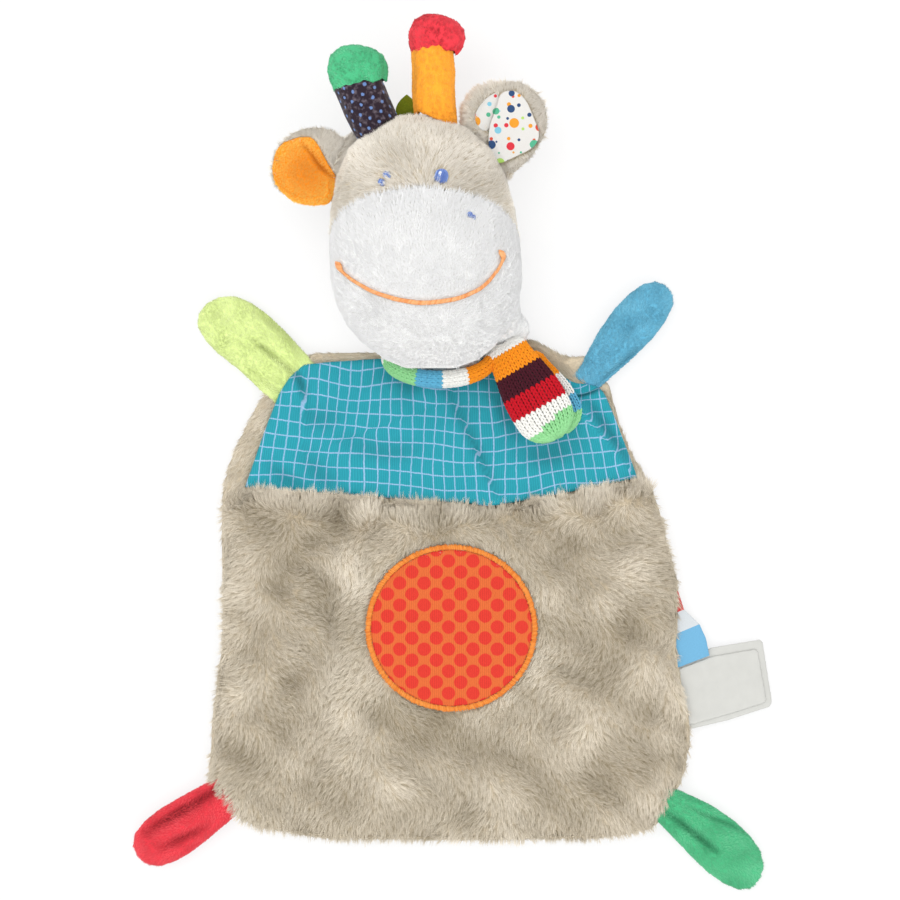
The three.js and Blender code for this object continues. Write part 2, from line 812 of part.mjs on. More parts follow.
// Scarf ends: the rear one lies on the yoke and the front one lies on top of it
const tailSlope = THREE.MathUtils.degToRad(90 + tailHeading);
const tailRoot = new THREE.Vector2(
  neckCentreX + bandOuterX + clearance + tailRootHalf * Math.cos(tailSlope),
  neckCentre.y + tailSet,
);
const tailWay = heading(tailHeading);
const tailAcross = new THREE.Vector2(-tailWay.y, tailWay.x);
const tailWaistHalf = THREE.MathUtils.lerp(tailRootHalf, tailEndHalf, tailWaist.spread);
const tailShares = [0.94, 0.8, 0.5];
const tailSteps = 20;
function scarfTail(name, shift, floor, thickness, colour) {
  const place = (reach, across) =>
    tailRoot
      .clone()
      .add(flat(shift))
      .addScaledVector(tailWay, reach)
      .addScaledVector(tailAcross, across);
  const edgeOf = (sign) => [
    place(0, sign * tailRootHalf),
    place(tailLength * tailWaist.reach, sign * tailWaistHalf),
    place(tailLength * tailTip.reach, sign * tailEndHalf * tailTip.width),
  ];
  const edge = new THREE.SplineCurve([
    ...edgeOf(-1),
    place(tailLength, 0),
    ...edgeOf(1).reverse(),
  ]).getPoints(tailSteps);
  const centre = place(tailLength / 2, 0);
  const rise = (share) => floor + (thickness / 2) * (1 + swell(share));
  piece(
    name,
    skin([
      ringAt(edge, centre, thickness / 4, floor),
      ringAt(edge, centre, 0, floor + thickness / 3),
      ...tailShares.map((share) => ringAt(edge, centre, 0, rise(share), share)),
    ]),
    colour,
  );
  return place(0, 0);
}

const rearFloor = yokeTopHeight + clearance;
const frontFloor = rearFloor + rearTailThickness + clearance;
const rearRoot = scarfTail("scarf_rear_tail", rearTailShift, rearFloor, rearTailThickness, 0xf0a040);
const frontRoot = scarfTail("scarf_front_tail", [0, 0], frontFloor, frontTailThickness, 0xc02a35);
hinges.rear_tail_swing = { at: new THREE.Vector3(rearRoot.x, rearRoot.y, rearFloor), axis: up };
hinges.front_tail_lift = {
  at: new THREE.Vector3(frontRoot.x, frontRoot.y, frontFloor + frontTailThickness / 2),
  axis: new THREE.Vector3(tailAcross.x, tailAcross.y, 0).negate(),
};

// Side tabs: flat tongues sewn into the right seam
function seamX(y) {
  const side = blanketEdge.filter((p) => p.x > blanketCentre.x);
  const after = side.findIndex((p) => p.y > y);
  const share = (y - side[after - 1].y) / (side[after].y - side[after - 1].y);
  return THREE.MathUtils.lerp(side[after - 1].x, side[after].x, share);
}

function sideTab(name, tab, colour) {
  const [top, bottom] = tab.seam.map((y) => new THREE.Vector2(seamX(y), y));
  const along = top.clone().sub(bottom).normalize();
  const outward = new THREE.Vector2(along.y, -along.x);
  const origin = bottom.clone().addScaledVector(outward, clearance + tab.thickness / 2);
  const length = top.distanceTo(bottom);
  const shape = new THREE.Shape([
    new THREE.Vector2(0, 0),
    new THREE.Vector2(tab.reach[1], tab.slant[1]),
    new THREE.Vector2(tab.reach[0], length + tab.slant[0]),
    new THREE.Vector2(0, length),
  ]);
  const hinge = {
    at: new THREE.Vector3(origin.x, origin.y, (backThickness + seamHeight) / 2),
    axis: new THREE.Vector3(-along.x, -along.y, 0),
  };
  const toSeam = new THREE.Matrix4()
    .makeBasis(
      new THREE.Vector3(outward.x, outward.y, 0),
      new THREE.Vector3(along.x, along.y, 0),
      up,
    )
    .setPosition(hinge.at);
  const tongue = new THREE.ExtrudeGeometry(shape, { depth: tab.thickness, bevelEnabled: false })
    .translate(0, 0, -tab.thickness / 2)
    .applyMatrix4(toSeam);
  piece(name, turned(tongue, hinge, -tab.droop), colour, 0.5);
  hinges[name + "_flap"] = hinge;
}

sideTab("care_label", careLabel, 0xf6f6f4);
sideTab("ribbon_tab", ribbonTab, 0x7fbfe6);

// The origin is under the middle of the whole toy, on the surface that it lies on
const bounds = new THREE.Box3().setFromObject(toy);
const centre = bounds.getCenter(new THREE.Vector3());
toy.position.set(-centre.x, -centre.y, -bounds.min.z);
toy.userData.hinges = Object.fromEntries(
  Object.entries(hinges).map(([name, hinge]) => [
    name,
    { at: hinge.at.clone().add(toy.position), axis: hinge.axis },
  ]),
);

export default toy;
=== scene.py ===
"""Patchwork plush giraffe: the looks of a flat comforter toy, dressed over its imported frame."""

import json
import math

import bpy
import numpy as np
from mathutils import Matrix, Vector
from mathutils.bvhtree import BVHTree
from mathutils.kdtree import KDTree


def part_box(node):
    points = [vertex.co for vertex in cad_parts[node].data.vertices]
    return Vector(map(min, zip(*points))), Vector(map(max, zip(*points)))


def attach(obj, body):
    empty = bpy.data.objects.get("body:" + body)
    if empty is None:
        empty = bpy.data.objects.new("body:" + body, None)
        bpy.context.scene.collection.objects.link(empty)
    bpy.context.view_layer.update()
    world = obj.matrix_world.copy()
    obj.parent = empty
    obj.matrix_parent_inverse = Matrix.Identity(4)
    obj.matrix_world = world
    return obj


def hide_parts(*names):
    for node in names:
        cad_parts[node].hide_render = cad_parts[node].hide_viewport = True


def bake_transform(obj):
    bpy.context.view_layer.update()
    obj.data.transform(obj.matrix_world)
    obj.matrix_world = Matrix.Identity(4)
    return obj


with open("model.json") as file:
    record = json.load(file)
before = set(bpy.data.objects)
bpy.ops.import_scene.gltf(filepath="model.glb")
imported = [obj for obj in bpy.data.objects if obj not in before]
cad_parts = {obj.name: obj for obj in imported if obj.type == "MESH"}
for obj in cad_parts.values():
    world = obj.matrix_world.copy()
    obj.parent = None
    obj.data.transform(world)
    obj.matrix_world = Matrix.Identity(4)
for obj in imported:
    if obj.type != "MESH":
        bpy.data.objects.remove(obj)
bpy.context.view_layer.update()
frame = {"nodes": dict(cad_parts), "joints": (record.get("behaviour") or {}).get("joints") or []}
joints = {joint["name"]: joint for joint in frame["joints"]}

# Sizes are written in millimetres and used in metres
MM = 0.001
TURN = 2 * math.pi
UP = np.array([0, 0, 1.0])
PILE_SHARE = 1.0
FLOOR_GAP = 0.2 * MM
RIPPLE_WAVES = 9

# Camera: straight above the toy, with the photograph's middle over this place
CAMERA_PLACE = (-0.6 * MM, 2.58 * MM, 1.0)
FRAME_WIDTH = 306 * MM
FRAME_PIXELS = 900
SENSOR_WIDTH = 36.0

# Plush
BEIGE_PILE = 4.2 * MM
WHITE_PILE = 2.8 * MM
VELOUR_PILE = 1.3 * MM
STRAND_RADIUS = 0.11 * MM
WHITE_RADIUS = 0.13 * MM
EDGE_LEAN = 0.6
EDGE_SHORT = 0.5


# Frame
def hinge(name):
    """Place and axis of a joint, and the level way across its axis."""
    axis = np.array(joints[name]["axis"])
    return np.array(joints[name]["pos_m"]), axis, np.array([-axis[1], axis[0], 0])


def oval(name):
    """Middle and half size of a frame node on the ground."""
    low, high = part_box(name)
    return np.array([low.x + high.x, low.y + high.y]) / 2, np.array([high.x - low.x, high.y - low.y]) / 2


# Sums on arrays of places
def unit(vectors):
    return vectors / np.maximum(np.linalg.norm(vectors, axis=-1, keepdims=True), 1e-12)


def dot(a, b):
    return (a * b).sum(-1, keepdims=True)


def ease(values, low, high):
    """0 below low, 1 above high and smooth between."""
    share = np.clip((values - low) / (high - low), 0, 1)
    return share * share * (3 - 2 * share)


def bump(values):
    """1 at 0, falling smoothly to about 0 at 2."""
    return np.exp(-(values**2))


def level(x, y):
    """Level vectors from their two parts."""
    return np.stack([x, y, np.zeros(len(x))], axis=1)


def ripple(places, wavelength, seed):
    """Smooth random heights of about -1 to 1, with waves of about that length."""
    rng = np.random.default_rng(seed)
    ways = unit(rng.normal(size=(RIPPLE_WAVES, places.shape[1])))
    pitches = wavelength * rng.uniform(0.7, 1.6, RIPPLE_WAVES)
    phases = rng.uniform(0, TURN, RIPPLE_WAVES)
    return np.sin((places @ ways.T) / pitches * TURN + phases).sum(1) / math.sqrt(RIPPLE_WAVES)


def off_line(places, start, end):
    """Signed distance of places from a line on the ground, and their share along it."""
    start = np.array(start) * MM
    way = np.array(end) * MM - start
    share = np.clip((places[:, :2] - start) @ way / (way @ way), 0, 1)
    gap = places[:, :2] - (start + share[:, None] * way)
    side = np.sign(gap[:, 0] * way[1] - gap[:, 1] * way[0])
    return side * np.linalg.norm(gap, axis=1), share


def fold(places, start, end, width, height, steepness=1.0):
    """Height of a fold along a line on the ground, fading out at its ends, narrower on one side."""
    away, share = off_line(places, start, end)
    reach = np.where(away > 0, width, width * steepness) * MM
    return height * MM * np.sin(math.pi * (0.15 + 0.7 * share)) * bump(away / reach)


def on_ground(pixels, height):
    """Places at a height under pixels of the camera's frame."""
    scale = FRAME_WIDTH / FRAME_PIXELS * (1 - height)
    away = (np.array(pixels, float) - FRAME_PIXELS / 2) * [scale, -scale]
    return np.array(CAMERA_PLACE[:2]) + away


def cut_corners(points, after):
    return np.stack([0.75 * points + 0.25 * after, 0.25 * points + 0.75 * after], 1).reshape(-1, 2)


def smooth_line(points, count):
    """Even points along a smooth curve through a few points."""
    for _ in range(4):
        points = np.concatenate([points[:1], cut_corners(points[:-1], points[1:]), points[-1:]])
    steps = np.concatenate([[0], np.cumsum(np.linalg.norm(np.diff(points, axis=0), axis=1))])
    along = np.linspace(0, steps[-1], count)
    return np.stack([np.interp(along, steps, points[:, 0]), np.interp(along, steps, points[:, 1])], 1)


def groove(places, route, width):
    """1 along a route on the ground, falling to 0 away from it and towards its ends."""
    line = smooth_line(route, 40)
    gaps = np.linalg.norm(places[:, None, :2] - line[None], axis=2)
    share = gaps.argmin(1) / (len(line) - 1)
    return np.sin(math.pi * (0.12 + 0.76 * share)) * bump(gaps.min(1) / (width * MM))


# Meshes
def read(items, name, width=1, kind=np.float32):
    values = np.empty(len(items) * width, kind)
    items.foreach_get(name, values)
    return values.reshape(-1, width) if width > 1 else values


def write(items, name, values, kind=np.float32):
    items.foreach_set(name, values.astype(kind).ravel())


def mesh_arrays(obj):
    """Vertex places, vertex normals and triangle corners of an object."""
    mesh = obj.data
    mesh.calc_loop_triangles()
    places = read(mesh.vertices, "co", 3).astype(float)
    normals = read(mesh.vertex_normals, "vector", 3).astype(float)
    return places, normals, read(mesh.loop_triangles, "vertices", 3, np.int32)


def set_places(obj, places):
    write(obj.data.vertices, "co", places)
    obj.data.update()


def point_values(obj, name, values):
    write(obj.data.attributes.new(name, "FLOAT", "POINT").data, "value", values)


def cloth_map(obj, across, along, period=None):
    """The flat map of a cloth from values at its vertices. Values with a period stay whole in each face."""
    mesh = obj.data
    corners = read(mesh.loops, "vertex_index", kind=np.int32)
    across = across[corners]
    if period:
        starts = read(mesh.polygons, "loop_start", kind=np.int32)
        first = np.repeat(across[starts], read(mesh.polygons, "loop_total", kind=np.int32))
        across += period * np.round((first - across) / period)
    write(mesh.uv_layers.new(name="cloth").data, "uv", np.stack([across, along[corners]], 1))


def link(name, data):
    obj = bpy.data.objects.new(name, data)
    bpy.context.scene.collection.objects.link(obj)
    return obj


def new_object(name, places, loops, sizes):
    """A smooth mesh object from vertex places, the faces' corners in a row and each face's corner count."""
    mesh = bpy.data.meshes.new(name)
    mesh.vertices.add(len(places))
    write(mesh.vertices, "co", places)
    mesh.loops.add(len(loops))
    write(mesh.loops, "vertex_index", loops, np.int32)
    mesh.polygons.add(len(sizes))
    write(mesh.polygons, "loop_start", np.concatenate([[0], np.cumsum(sizes)[:-1]]), np.int32)
    mesh.update(calc_edges=True)
    mesh.shade_smooth()
    return link(name, mesh)


def alone(obj):
    bpy.ops.object.select_all(action="DESELECT")
    obj.select_set(True)
    bpy.context.view_layer.objects.active = obj


def join(obj, *others):
    alone(obj)
    for other in others:
        other.select_set(True)
    if others:
        bpy.ops.object.join()
    return obj


def ball(place, **form):
    bpy.ops.mesh.primitive_uv_sphere_add(location=place, **form)
    obj = bpy.context.active_object
    alone(obj)
    bpy.ops.object.transform_apply(location=True, rotation=True, scale=True)
    return obj


def roll(pixels, radii, height):
    """Overlapping balls along a line of the camera's frame."""
    line = smooth_line(on_ground(pixels, height), 12)
    sizes = np.interp(np.linspace(0, 1, len(line)), np.linspace(0, 1, len(radii)), radii) * MM
    form = {"segments": 20, "ring_count": 12}
    return [ball((x, y, height), radius=size, **form) for (x, y), size in zip(line, sizes)]


def smooth(obj, rounds):
    alone(obj)
    modifier = obj.modifiers.new("smooth", "SMOOTH")
    modifier.iterations = rounds
    modifier.factor = 0.5
    bpy.ops.object.modifier_apply(modifier=modifier.name)


def remesh(obj, voxel, rounds):
    """Remeshes an object finely and smooths it."""
    alone(obj)
    obj.data.remesh_voxel_size = voxel * MM
    bpy.ops.object.voxel_remesh()
    smooth(obj, rounds)
    obj.data.shade_smooth()


def soft_copy(name, *nodes, voxel, rounds, hull=False, joined=()):
    """A new object with the form of some frame nodes and joined objects, remeshed finely and smoothed."""
    copies = [link(name, frame["nodes"][source].data.copy()) for source in nodes]
    obj = join(copies[-1], *copies[:-1], *joined)
    obj.name = name
    obj.data.name = name
    obj.data.materials.clear()
    bpy.ops.object.mode_set(mode="EDIT")
    bpy.ops.mesh.select_all(action="SELECT")
    bpy.ops.mesh.remove_doubles(threshold=0.001 * MM)
    if hull:
        bpy.ops.mesh.convex_hull()
    bpy.ops.object.mode_set(mode="OBJECT")
    remesh(obj, voxel, rounds)
    return obj


def laid_cloth(name, outline, top, thickness, lift=0.0, voxel=0.45):
    """A soft slab of cloth with an outline, laid on a surface."""
    mesh = bpy.data.meshes.new(name)
    mesh.from_pydata([(x, y, 0) for x, y in outline], [], [list(range(len(outline)))])
    obj = link(name, mesh)
    alone(obj)
    bpy.ops.object.mode_set(mode="EDIT")
    bpy.ops.mesh.select_all(action="SELECT")
    bpy.ops.mesh.extrude_region_move(TRANSFORM_OT_translate={"value": (0, 0, thickness)})
    bpy.ops.mesh.select_all(action="SELECT")
    bpy.ops.mesh.normals_make_consistent(inside=False)
    bpy.ops.object.mode_set(mode="OBJECT")
    remesh(obj, voxel, 4)
    places, _, _ = mesh_arrays(obj)
    places[:, 2] += np.array([top(x, y)[0].z for x, y, _ in places]) + lift
    set_places(obj, places)
    smooth(obj, 3)
    return obj


def sink(obj, depth):
    """Draws a skin in along its normals, to leave room for its pile."""
    places, normals, _ = mesh_arrays(obj)
    places -= normals * depth
    places[:, 2] = np.maximum(places[:, 2], FLOOR_GAP)
    set_places(obj, places)


def ray_tree(obj):
    return BVHTree.FromObject(obj, bpy.context.evaluated_depsgraph_get())


def height_map(*objs, missing=0.0):
    """A function that finds the top of some objects under places on the ground, and its normal."""
    trees = [ray_tree(obj) for obj in objs]
    above = Vector(UP)

    def top(x, y):
        hits = [tree.ray_cast(Vector((x, y, 0)) + above, -above) for tree in trees]
        found = [hit for hit in hits if hit[0] is not None]
        found.append((Vector((x, y, missing)), above))
        return max(found, key=lambda hit: hit[0].z)[:2]

    return top


def dress(obj, material, body, slot, *nodes, fill=None, bend=None):
    """Gives a piece its material and hides the frame nodes it stands for. Without a bend it goes on its body;
    with a bend it only has its transform applied.
    """
    obj.data.materials.clear()
    obj.data.materials.append(material)
    if bend is None:
        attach(obj, body)
    else:
        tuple(bend[0])
        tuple(bend[1])
        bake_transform(obj)
    if nodes:
        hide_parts(*nodes)


# Pile: fine tapering three-sided strands that lean over, drawn together in tufts
STRAND_LOOPS = np.array([0, 1, 3, 1, 2, 3, 2, 0, 3, 2, 1, 0])
STRAND_FACES = 4
STRAND_CORNERS = 4
STRAND_TIPS = np.array([0, 0, 0, 1])
STRAND_SIDES = np.array([0, 1, 0.5] * STRAND_FACES)
ROUNDNESS = 0.4
UPWARD = 0.5
MAP_MARGIN = 0.02
MAP_WIDTH = 0.03
LENGTH_RANGE = (0.7, 1.15)
LEAN_RANGE = (0.8, 1.15)
ROOT_BEND = 0.55
TIP_BEND = 1.35
FLATTEST = 1.5


def strand_object(name, roots, tips, ups, radius, tones):
    along = unit(tips - roots)
    side = unit(np.cross(along, ups))
    angles = np.radians([90, 210, 330])[:, None]
    ring = side[:, None] * np.cos(angles) + np.cross(along, side)[:, None] * np.sin(angles)
    facing = ups + UP * UPWARD
    soft = unit(facing[:, None] + ring * ROUNDNESS)
    normals = np.concatenate([soft, unit(facing + along * ROUNDNESS)[:, None]], axis=1)
    places = np.concatenate([roots[:, None] + ring * radius, tips[:, None]], axis=1)
    count = len(roots)
    loops = (np.arange(count)[:, None] * STRAND_CORNERS + STRAND_LOOPS).ravel()
    obj = new_object(name, places.reshape(-1, 3), loops, np.full(count * STRAND_FACES, 3))
    obj.data.normals_split_custom_set_from_vertices(normals.reshape(-1, 3))
    point_values(obj, "tip", np.tile(STRAND_TIPS, count))
    point_values(obj, "tone", np.repeat(tones, STRAND_CORNERS))
    across = MAP_MARGIN + tones[:, None] * (1 - 2 * MAP_MARGIN - MAP_WIDTH) + STRAND_SIDES * MAP_WIDTH
    up = np.broadcast_to(MAP_MARGIN + STRAND_TIPS[STRAND_LOOPS] * (1 - 2 * MAP_MARGIN), across.shape)
    write(obj.data.uv_layers.new(name="OFBake").data, "uv", np.stack([across, up], axis=2))
    return obj


def at(value, *where):
    """A value that is given as it is or as a function of places."""
    return value(*where) if callable(value) else value


def pile(
    name, skin, material, body, slot, *, count, length, lean, nap, tone, seed, bend=None, grow=1.0,
    radius=STRAND_RADIUS, spread=0.35, tuft=(0.4, 12), grain=0.1, parts=1,
):
    """Dressed strands over a skin. Length, lean, nap, tone and growth are values or functions of places."""
    rng = np.random.default_rng(seed)
    places, normals, corners = mesh_arrays(skin)
    triangles = places[corners]
    facing = np.cross(triangles[:, 1] - triangles[:, 0], triangles[:, 2] - triangles[:, 0])
    area = np.linalg.norm(facing, axis=1)
    weight = area * at(grow, triangles.mean(1), facing / np.maximum(area, 1e-15)[:, None])
    count = int(count * PILE_SHARE)
    picked = rng.choice(len(triangles), count, p=weight / weight.sum())
    first = np.sqrt(rng.random(count))
    second = rng.random(count)
    shares = np.stack([1 - first, first * (1 - second), first * second], axis=1)[:, :, None]
    roots = (triangles[picked] * shares).sum(1)
    ups = unit((normals[corners[picked]] * shares).sum(1))
    flow = at(nap, roots, ups) + spread * rng.normal(size=(count, 3))
    flow = unit(flow - ups * dot(flow, ups))
    sideways = 1 - np.abs(ups[:, 2:])
    tall = (at(length, roots) * rng.uniform(*LENGTH_RANGE, count))[:, None] * (1 - EDGE_SHORT * sideways)
    low = (at(lean, roots) * rng.uniform(*LEAN_RANGE, count))[:, None] + EDGE_LEAN * sideways
    tips = roots
    for turn in (low * ROOT_BEND, np.minimum(low * TIP_BEND, FLATTEST)):
        tips = tips + tall * 0.5 * (ups * np.cos(turn) + flow * np.sin(turn))
    strength, size = tuft
    heads = rng.choice(count, max(count // size, 1), replace=False)
    tree = KDTree(len(heads))
    for index, head in enumerate(heads):
        tree.insert(roots[head], index)
    tree.balance()
    nearest = heads[[tree.find(root)[1] for root in roots]]
    tips += (tips[nearest] - tips) * strength
    roots -= ups * radius
    for points in (roots, tips):
        points[:, 2] = np.maximum(points[:, 2], FLOOR_GAP + radius)
    tones = np.clip(at(tone, roots) + grain * rng.normal(size=count), 0, 1)
    made = []
    for index, part in enumerate(np.array_split(np.argsort(roots[:, 0], kind="stable"), parts)):
        part_name = name if parts == 1 else f"{name}_{index + 1}"
        made.append(strand_object(part_name, roots[part], tips[part], ups[part], radius, tones[part]))
        dress(made[-1], material, body, slot, bend=bend)
    return made


# Thread: plump lobes from start to end, arched away from what they lie on
LOBE_RINGS = 3
LOBE_SIDES = 5


def lobe_arrays(starts, ends, ups, radius, arch, bluntness=0.6):
    """Places, loops and face sizes of many thread lobes, and the corners of each."""
    count = len(starts)
    way = unit(ends - starts)
    side = unit(np.cross(way, ups))
    angles = np.arange(LOBE_SIDES)[:, None] * TURN / LOBE_SIDES
    circle = side[:, None] * np.cos(angles) + np.cross(side, way)[:, None] * np.sin(angles)
    radius = np.broadcast_to(radius, count)[:, None, None]
    rings = [starts[:, None]]
    for step in range(1, LOBE_RINGS + 1):
        turn = math.pi * step / (LOBE_RINGS + 1)
        centre = starts + (ends - starts) * ((1 - math.cos(turn)) / 2) + ups * arch * math.sin(turn)
        rings.append(centre[:, None] + circle * radius * math.sin(turn) ** bluntness)
    rings.append(ends[:, None])
    loops = []
    last = 1 + LOBE_RINGS * LOBE_SIDES
    for i in range(LOBE_SIDES):
        after = (i + 1) % LOBE_SIDES
        loops += [0, 1 + after, 1 + i]
        for low in range(1, last - LOBE_SIDES, LOBE_SIDES):
            high = low + LOBE_SIDES
            loops += [low + i, low + after, high + after, high + i]
        loops += [high + i, high + after, last]
    corners = last + 1
    all_loops = (np.arange(count)[:, None] * corners + np.array(loops)).ravel()
    sizes = np.tile([3] + [4] * (LOBE_RINGS - 1) + [3], count * LOBE_SIDES)
    return np.concatenate(rings, axis=1).reshape(-1, 3), all_loops, sizes, corners


def thread_object(name, starts, ends, ups, tones, radius, arch):
    """Thread lobes with a tone from 0 to 1 each."""
    places, loops, sizes, corners = lobe_arrays(starts, ends, ups, radius, arch, bluntness=0.3)
    obj = new_object(name, places, loops, sizes)
    point_values(obj, "tone", np.repeat(tones, corners))
    return obj


# Shader nodes
def srgb(code):
    """A linear colour from its usual written form."""
    parts = [int(code[i : i + 2], 16) / 255 for i in (0, 2, 4)]
    return tuple(c / 12.92 if c <= 0.04045 else ((c + 0.055) / 1.055) ** 2.4 for c in parts) + (1.0,)


class Value:
    """An output of a shader node. Sums on it add nodes."""

    def __init__(self, socket):
        self.socket = socket
        self.tree = socket.id_data

    def sums(self, operation, other=0.0):
        return output(self.tree, "Math", 0, {0: self, 1: other}, operation=operation)

    def __add__(self, other):
        return self.sums("ADD", other)

    def __sub__(self, other):
        return self.sums("SUBTRACT", other)

    def __mul__(self, other):
        return self.sums("MULTIPLY", other)

    def __truediv__(self, other):
        return self.sums("DIVIDE", other)


def node(tree, kind, inputs=(), **settings):
    made = tree.nodes.new("ShaderNode" + kind)
    for name, setting in settings.items():
        setattr(made, name, setting)
    for key, given in dict(inputs).items():
        if isinstance(given, Value):
            tree.links.new(given.socket, made.inputs[key])
        else:
            made.inputs[key].default_value = given
    return made


def output(tree, kind, key, inputs=(), **settings):
    return Value(node(tree, kind, inputs, **settings).outputs[key])


def mix(factor, first, second):
    return output(factor.tree, "Mix", 2, {0: factor, 6: first, 7: second}, data_type="RGBA")


def scaled(colour, factor):
    return output(factor.tree, "VectorMath", 0, {0: colour, "Scale": factor}, operation="SCALE")


def vectors(operation, first, *others, key=0):
    return output(first.tree, "VectorMath", key, dict(enumerate((first, *others))), operation=operation)


def span(value, low, high, to_low, to_high, kind="LINEAR"):
    inputs = {"Value": value, "From Min": low, "From Max": high, "To Min": to_low, "To Max": to_high}
    return output(value.tree, "MapRange", "Result", inputs, interpolation_type=kind)


def noise(places, scale, detail=2.0):
    return output(places.tree, "TexNoise", 0, {"Vector": places, "Scale": scale, "Detail": detail})


def parts_of(vector):
    return [Value(part) for part in node(vector.tree, "SeparateXYZ", {0: vector}).outputs]


def attribute(tree, name, key="Fac"):
    return output(tree, "Attribute", key, attribute_name=name)


def object_places(tree):
    return output(tree, "TexCoord", "Object")


def map_places(tree):
    return output(tree, "UVMap", "UV", uv_map="cloth")


def painted_shade_in_hollows(tree):
    """Painted shade: a level that falls from 1 in the hollows of a cloth, where its hollow attribute is set.
    """
    return output(tree, "Math", 0, {0: 1.0, 1: attribute(tree, "hollow")}, operation="SUBTRACT")


def lattice(places, pitch, offset):
    """Distance from the nearest point of a rectangular lattice on the ground."""
    cells = vectors("DIVIDE", vectors("SUBTRACT", places, offset), pitch)
    middle = vectors("SUBTRACT", vectors("FRACTION", cells), (0.5, 0.5, 0.5))
    ground = vectors("MULTIPLY", vectors("MULTIPLY", middle, pitch), (1, 1, 0))
    return vectors("LENGTH", ground, key="Value")


def dots(places, pitch, first, second, grain, ragged, edges):
    """1 on the dots of two lattices, with ragged edges."""
    away = lattice(places, pitch, first).sums("MINIMUM", lattice(places, pitch, second))
    return span(away + noise(places, grain) * ragged, *edges, 1, 0, "SMOOTHSTEP")


def banded(place, bands):
    """Colours in hard bands, from the bands' starts and colours."""
    made = node(place.tree, "ValToRGB", {0: place})
    ramp = made.color_ramp
    ramp.interpolation = "CONSTANT"
    while len(ramp.elements) < len(bands):
        ramp.elements.new(0.5)
    for element, (start, code) in zip(ramp.elements, bands):
        element.position = start
        element.color = srgb(code)
    return Value(made.outputs[0])


def group(name, inputs, outputs, work):
    """A node group from its sockets' names and kinds and the function that works its outputs out."""
    tree = bpy.data.node_groups.new(name, "ShaderNodeTree")
    for way, sockets in (("INPUT", inputs), ("OUTPUT", outputs)):
        for socket, kind in sockets.items():
            tree.interface.new_socket(socket, in_out=way, socket_type="NodeSocket" + kind)
    given = tree.nodes.new("NodeGroupInput").outputs
    result = tree.nodes.new("NodeGroupOutput").inputs
    for socket, found in zip(outputs, work(*(Value(given[key]) for key in inputs))):
        tree.links.new(found.socket, result[socket])
    return tree


def pile_shade(root, tip):
    """Colour of a strand: dark at its root as painted shade deep in the pile, light at its tip, and varied by
    its tone, which on some piles holds painted shade and light.
    """
    tone = attribute(root.tree, "tone")
    shown = attribute(root.tree, "tip").sums("POWER", 0.75) * 0.65 + span(tone, 0, 1, -0.35, 0.55)
    return [scaled(mix(shown, root, tip), span(tone, 0, 1, 0.7, 1.16))]


def rib_knit(places, pitch):
    """Height of a fine ribbed jersey, and its painted shade: darker in the grooves and lighter on the ribs.
    """
    wave = (parts_of(places)[0] / pitch * TURN).sums("SINE")
    height = wave * 0.5 + noise(places, 2600)
    return [height, span(height, -0.3, 1.3, 0.84, 1.1)]


def mottle(places, amount):
    """Soft light and dark patches with a fine grain."""
    both = noise(places, 90, 3.0) + noise(places, 1500, 1.0) - 1.0
    return [both * amount + 1.0]


PLACED = {"Places": "Vector"}
PILE_SHADE = group("pile_shade", {"Root": "Color", "Tip": "Color"}, {"Color": "Color"}, pile_shade)
RIB_KNIT = group("rib_knit", {**PLACED, "Pitch": "Float"}, {"Height": "Float", "Shade": "Float"}, rib_knit)
MOTTLE = group("mottle", {**PLACED, "Amount": "Float"}, {"Level": "Float"}, mottle)
SHEEN_ROUGHNESS = 0.45


# Materials
class Fabric:
    """A cloth material with its node tree."""

    def __init__(self, name, roughness, sheen, specular=0.2):
        self.material = bpy.data.materials.new(name)
        self.material.use_nodes = True
        self.tree = self.material.node_tree
        self.shader = self.tree.nodes["Principled BSDF"].inputs
        self.shader["Roughness"].default_value = roughness
        self.shader["Specular IOR Level"].default_value = specular
        self.shader["Sheen Weight"].default_value = sheen
        self.shader["Sheen Roughness"].default_value = SHEEN_ROUGHNESS

    def dyed(self, colour):
        self.tree.links.new(colour.socket, self.shader["Base Color"])
        return self.material

    def woven(self, colour, height, depth, strength):
        """The material with a colour and a relief of that depth in millimetres."""
        inputs = {"Height": height, "Distance": depth * MM, "Strength": strength}
        self.tree.links.new(output(self.tree, "Bump", "Normal", inputs).socket, self.shader["Normal"])
        return self.dyed(colour)

    def ribbed(self, colour, places, pitch, level=None):
        """The material with a colour on a ribbed jersey, darkened by the jersey's painted shade in its
        grooves and by a further painted shade level when one is given.
        """
        inputs = {"Places": places, "Pitch": pitch * MM}
        height, shade = (Value(out) for out in node(self.tree, "Group", inputs, node_tree=RIB_KNIT).outputs)
        return self.woven(scaled(colour, shade * level if level else shade), height, depth=0.12, strength=0.8)


def strand_material(name, root, tip, sheen=0.15, specular=0.2):
    cloth = Fabric(name, roughness=0.75, sheen=sheen, specular=specular)
    inputs = {"Root": srgb(root), "Tip": srgb(tip)}
    return cloth.dyed(output(cloth.tree, "Group", "Color", inputs, node_tree=PILE_SHADE))


def mottled(name, code, amount=0.5, sheen=0.2):
    """Plain cloth with soft patches and a fibrous grain, darkened by painted shade where a piece's hollow
    attribute marks its hollows.
    """
    cloth = Fabric(name, roughness=0.9, sheen=sheen)
    places = object_places(cloth.tree)
    patches = output(cloth.tree, "Group", "Level", {"Places": places, "Amount": amount}, node_tree=MOTTLE)
    colour = scaled(srgb(code)[:3], patches * painted_shade_in_hollows(cloth.tree))
    return cloth.woven(colour, noise(places, 2200), depth=0.2, strength=0.6)


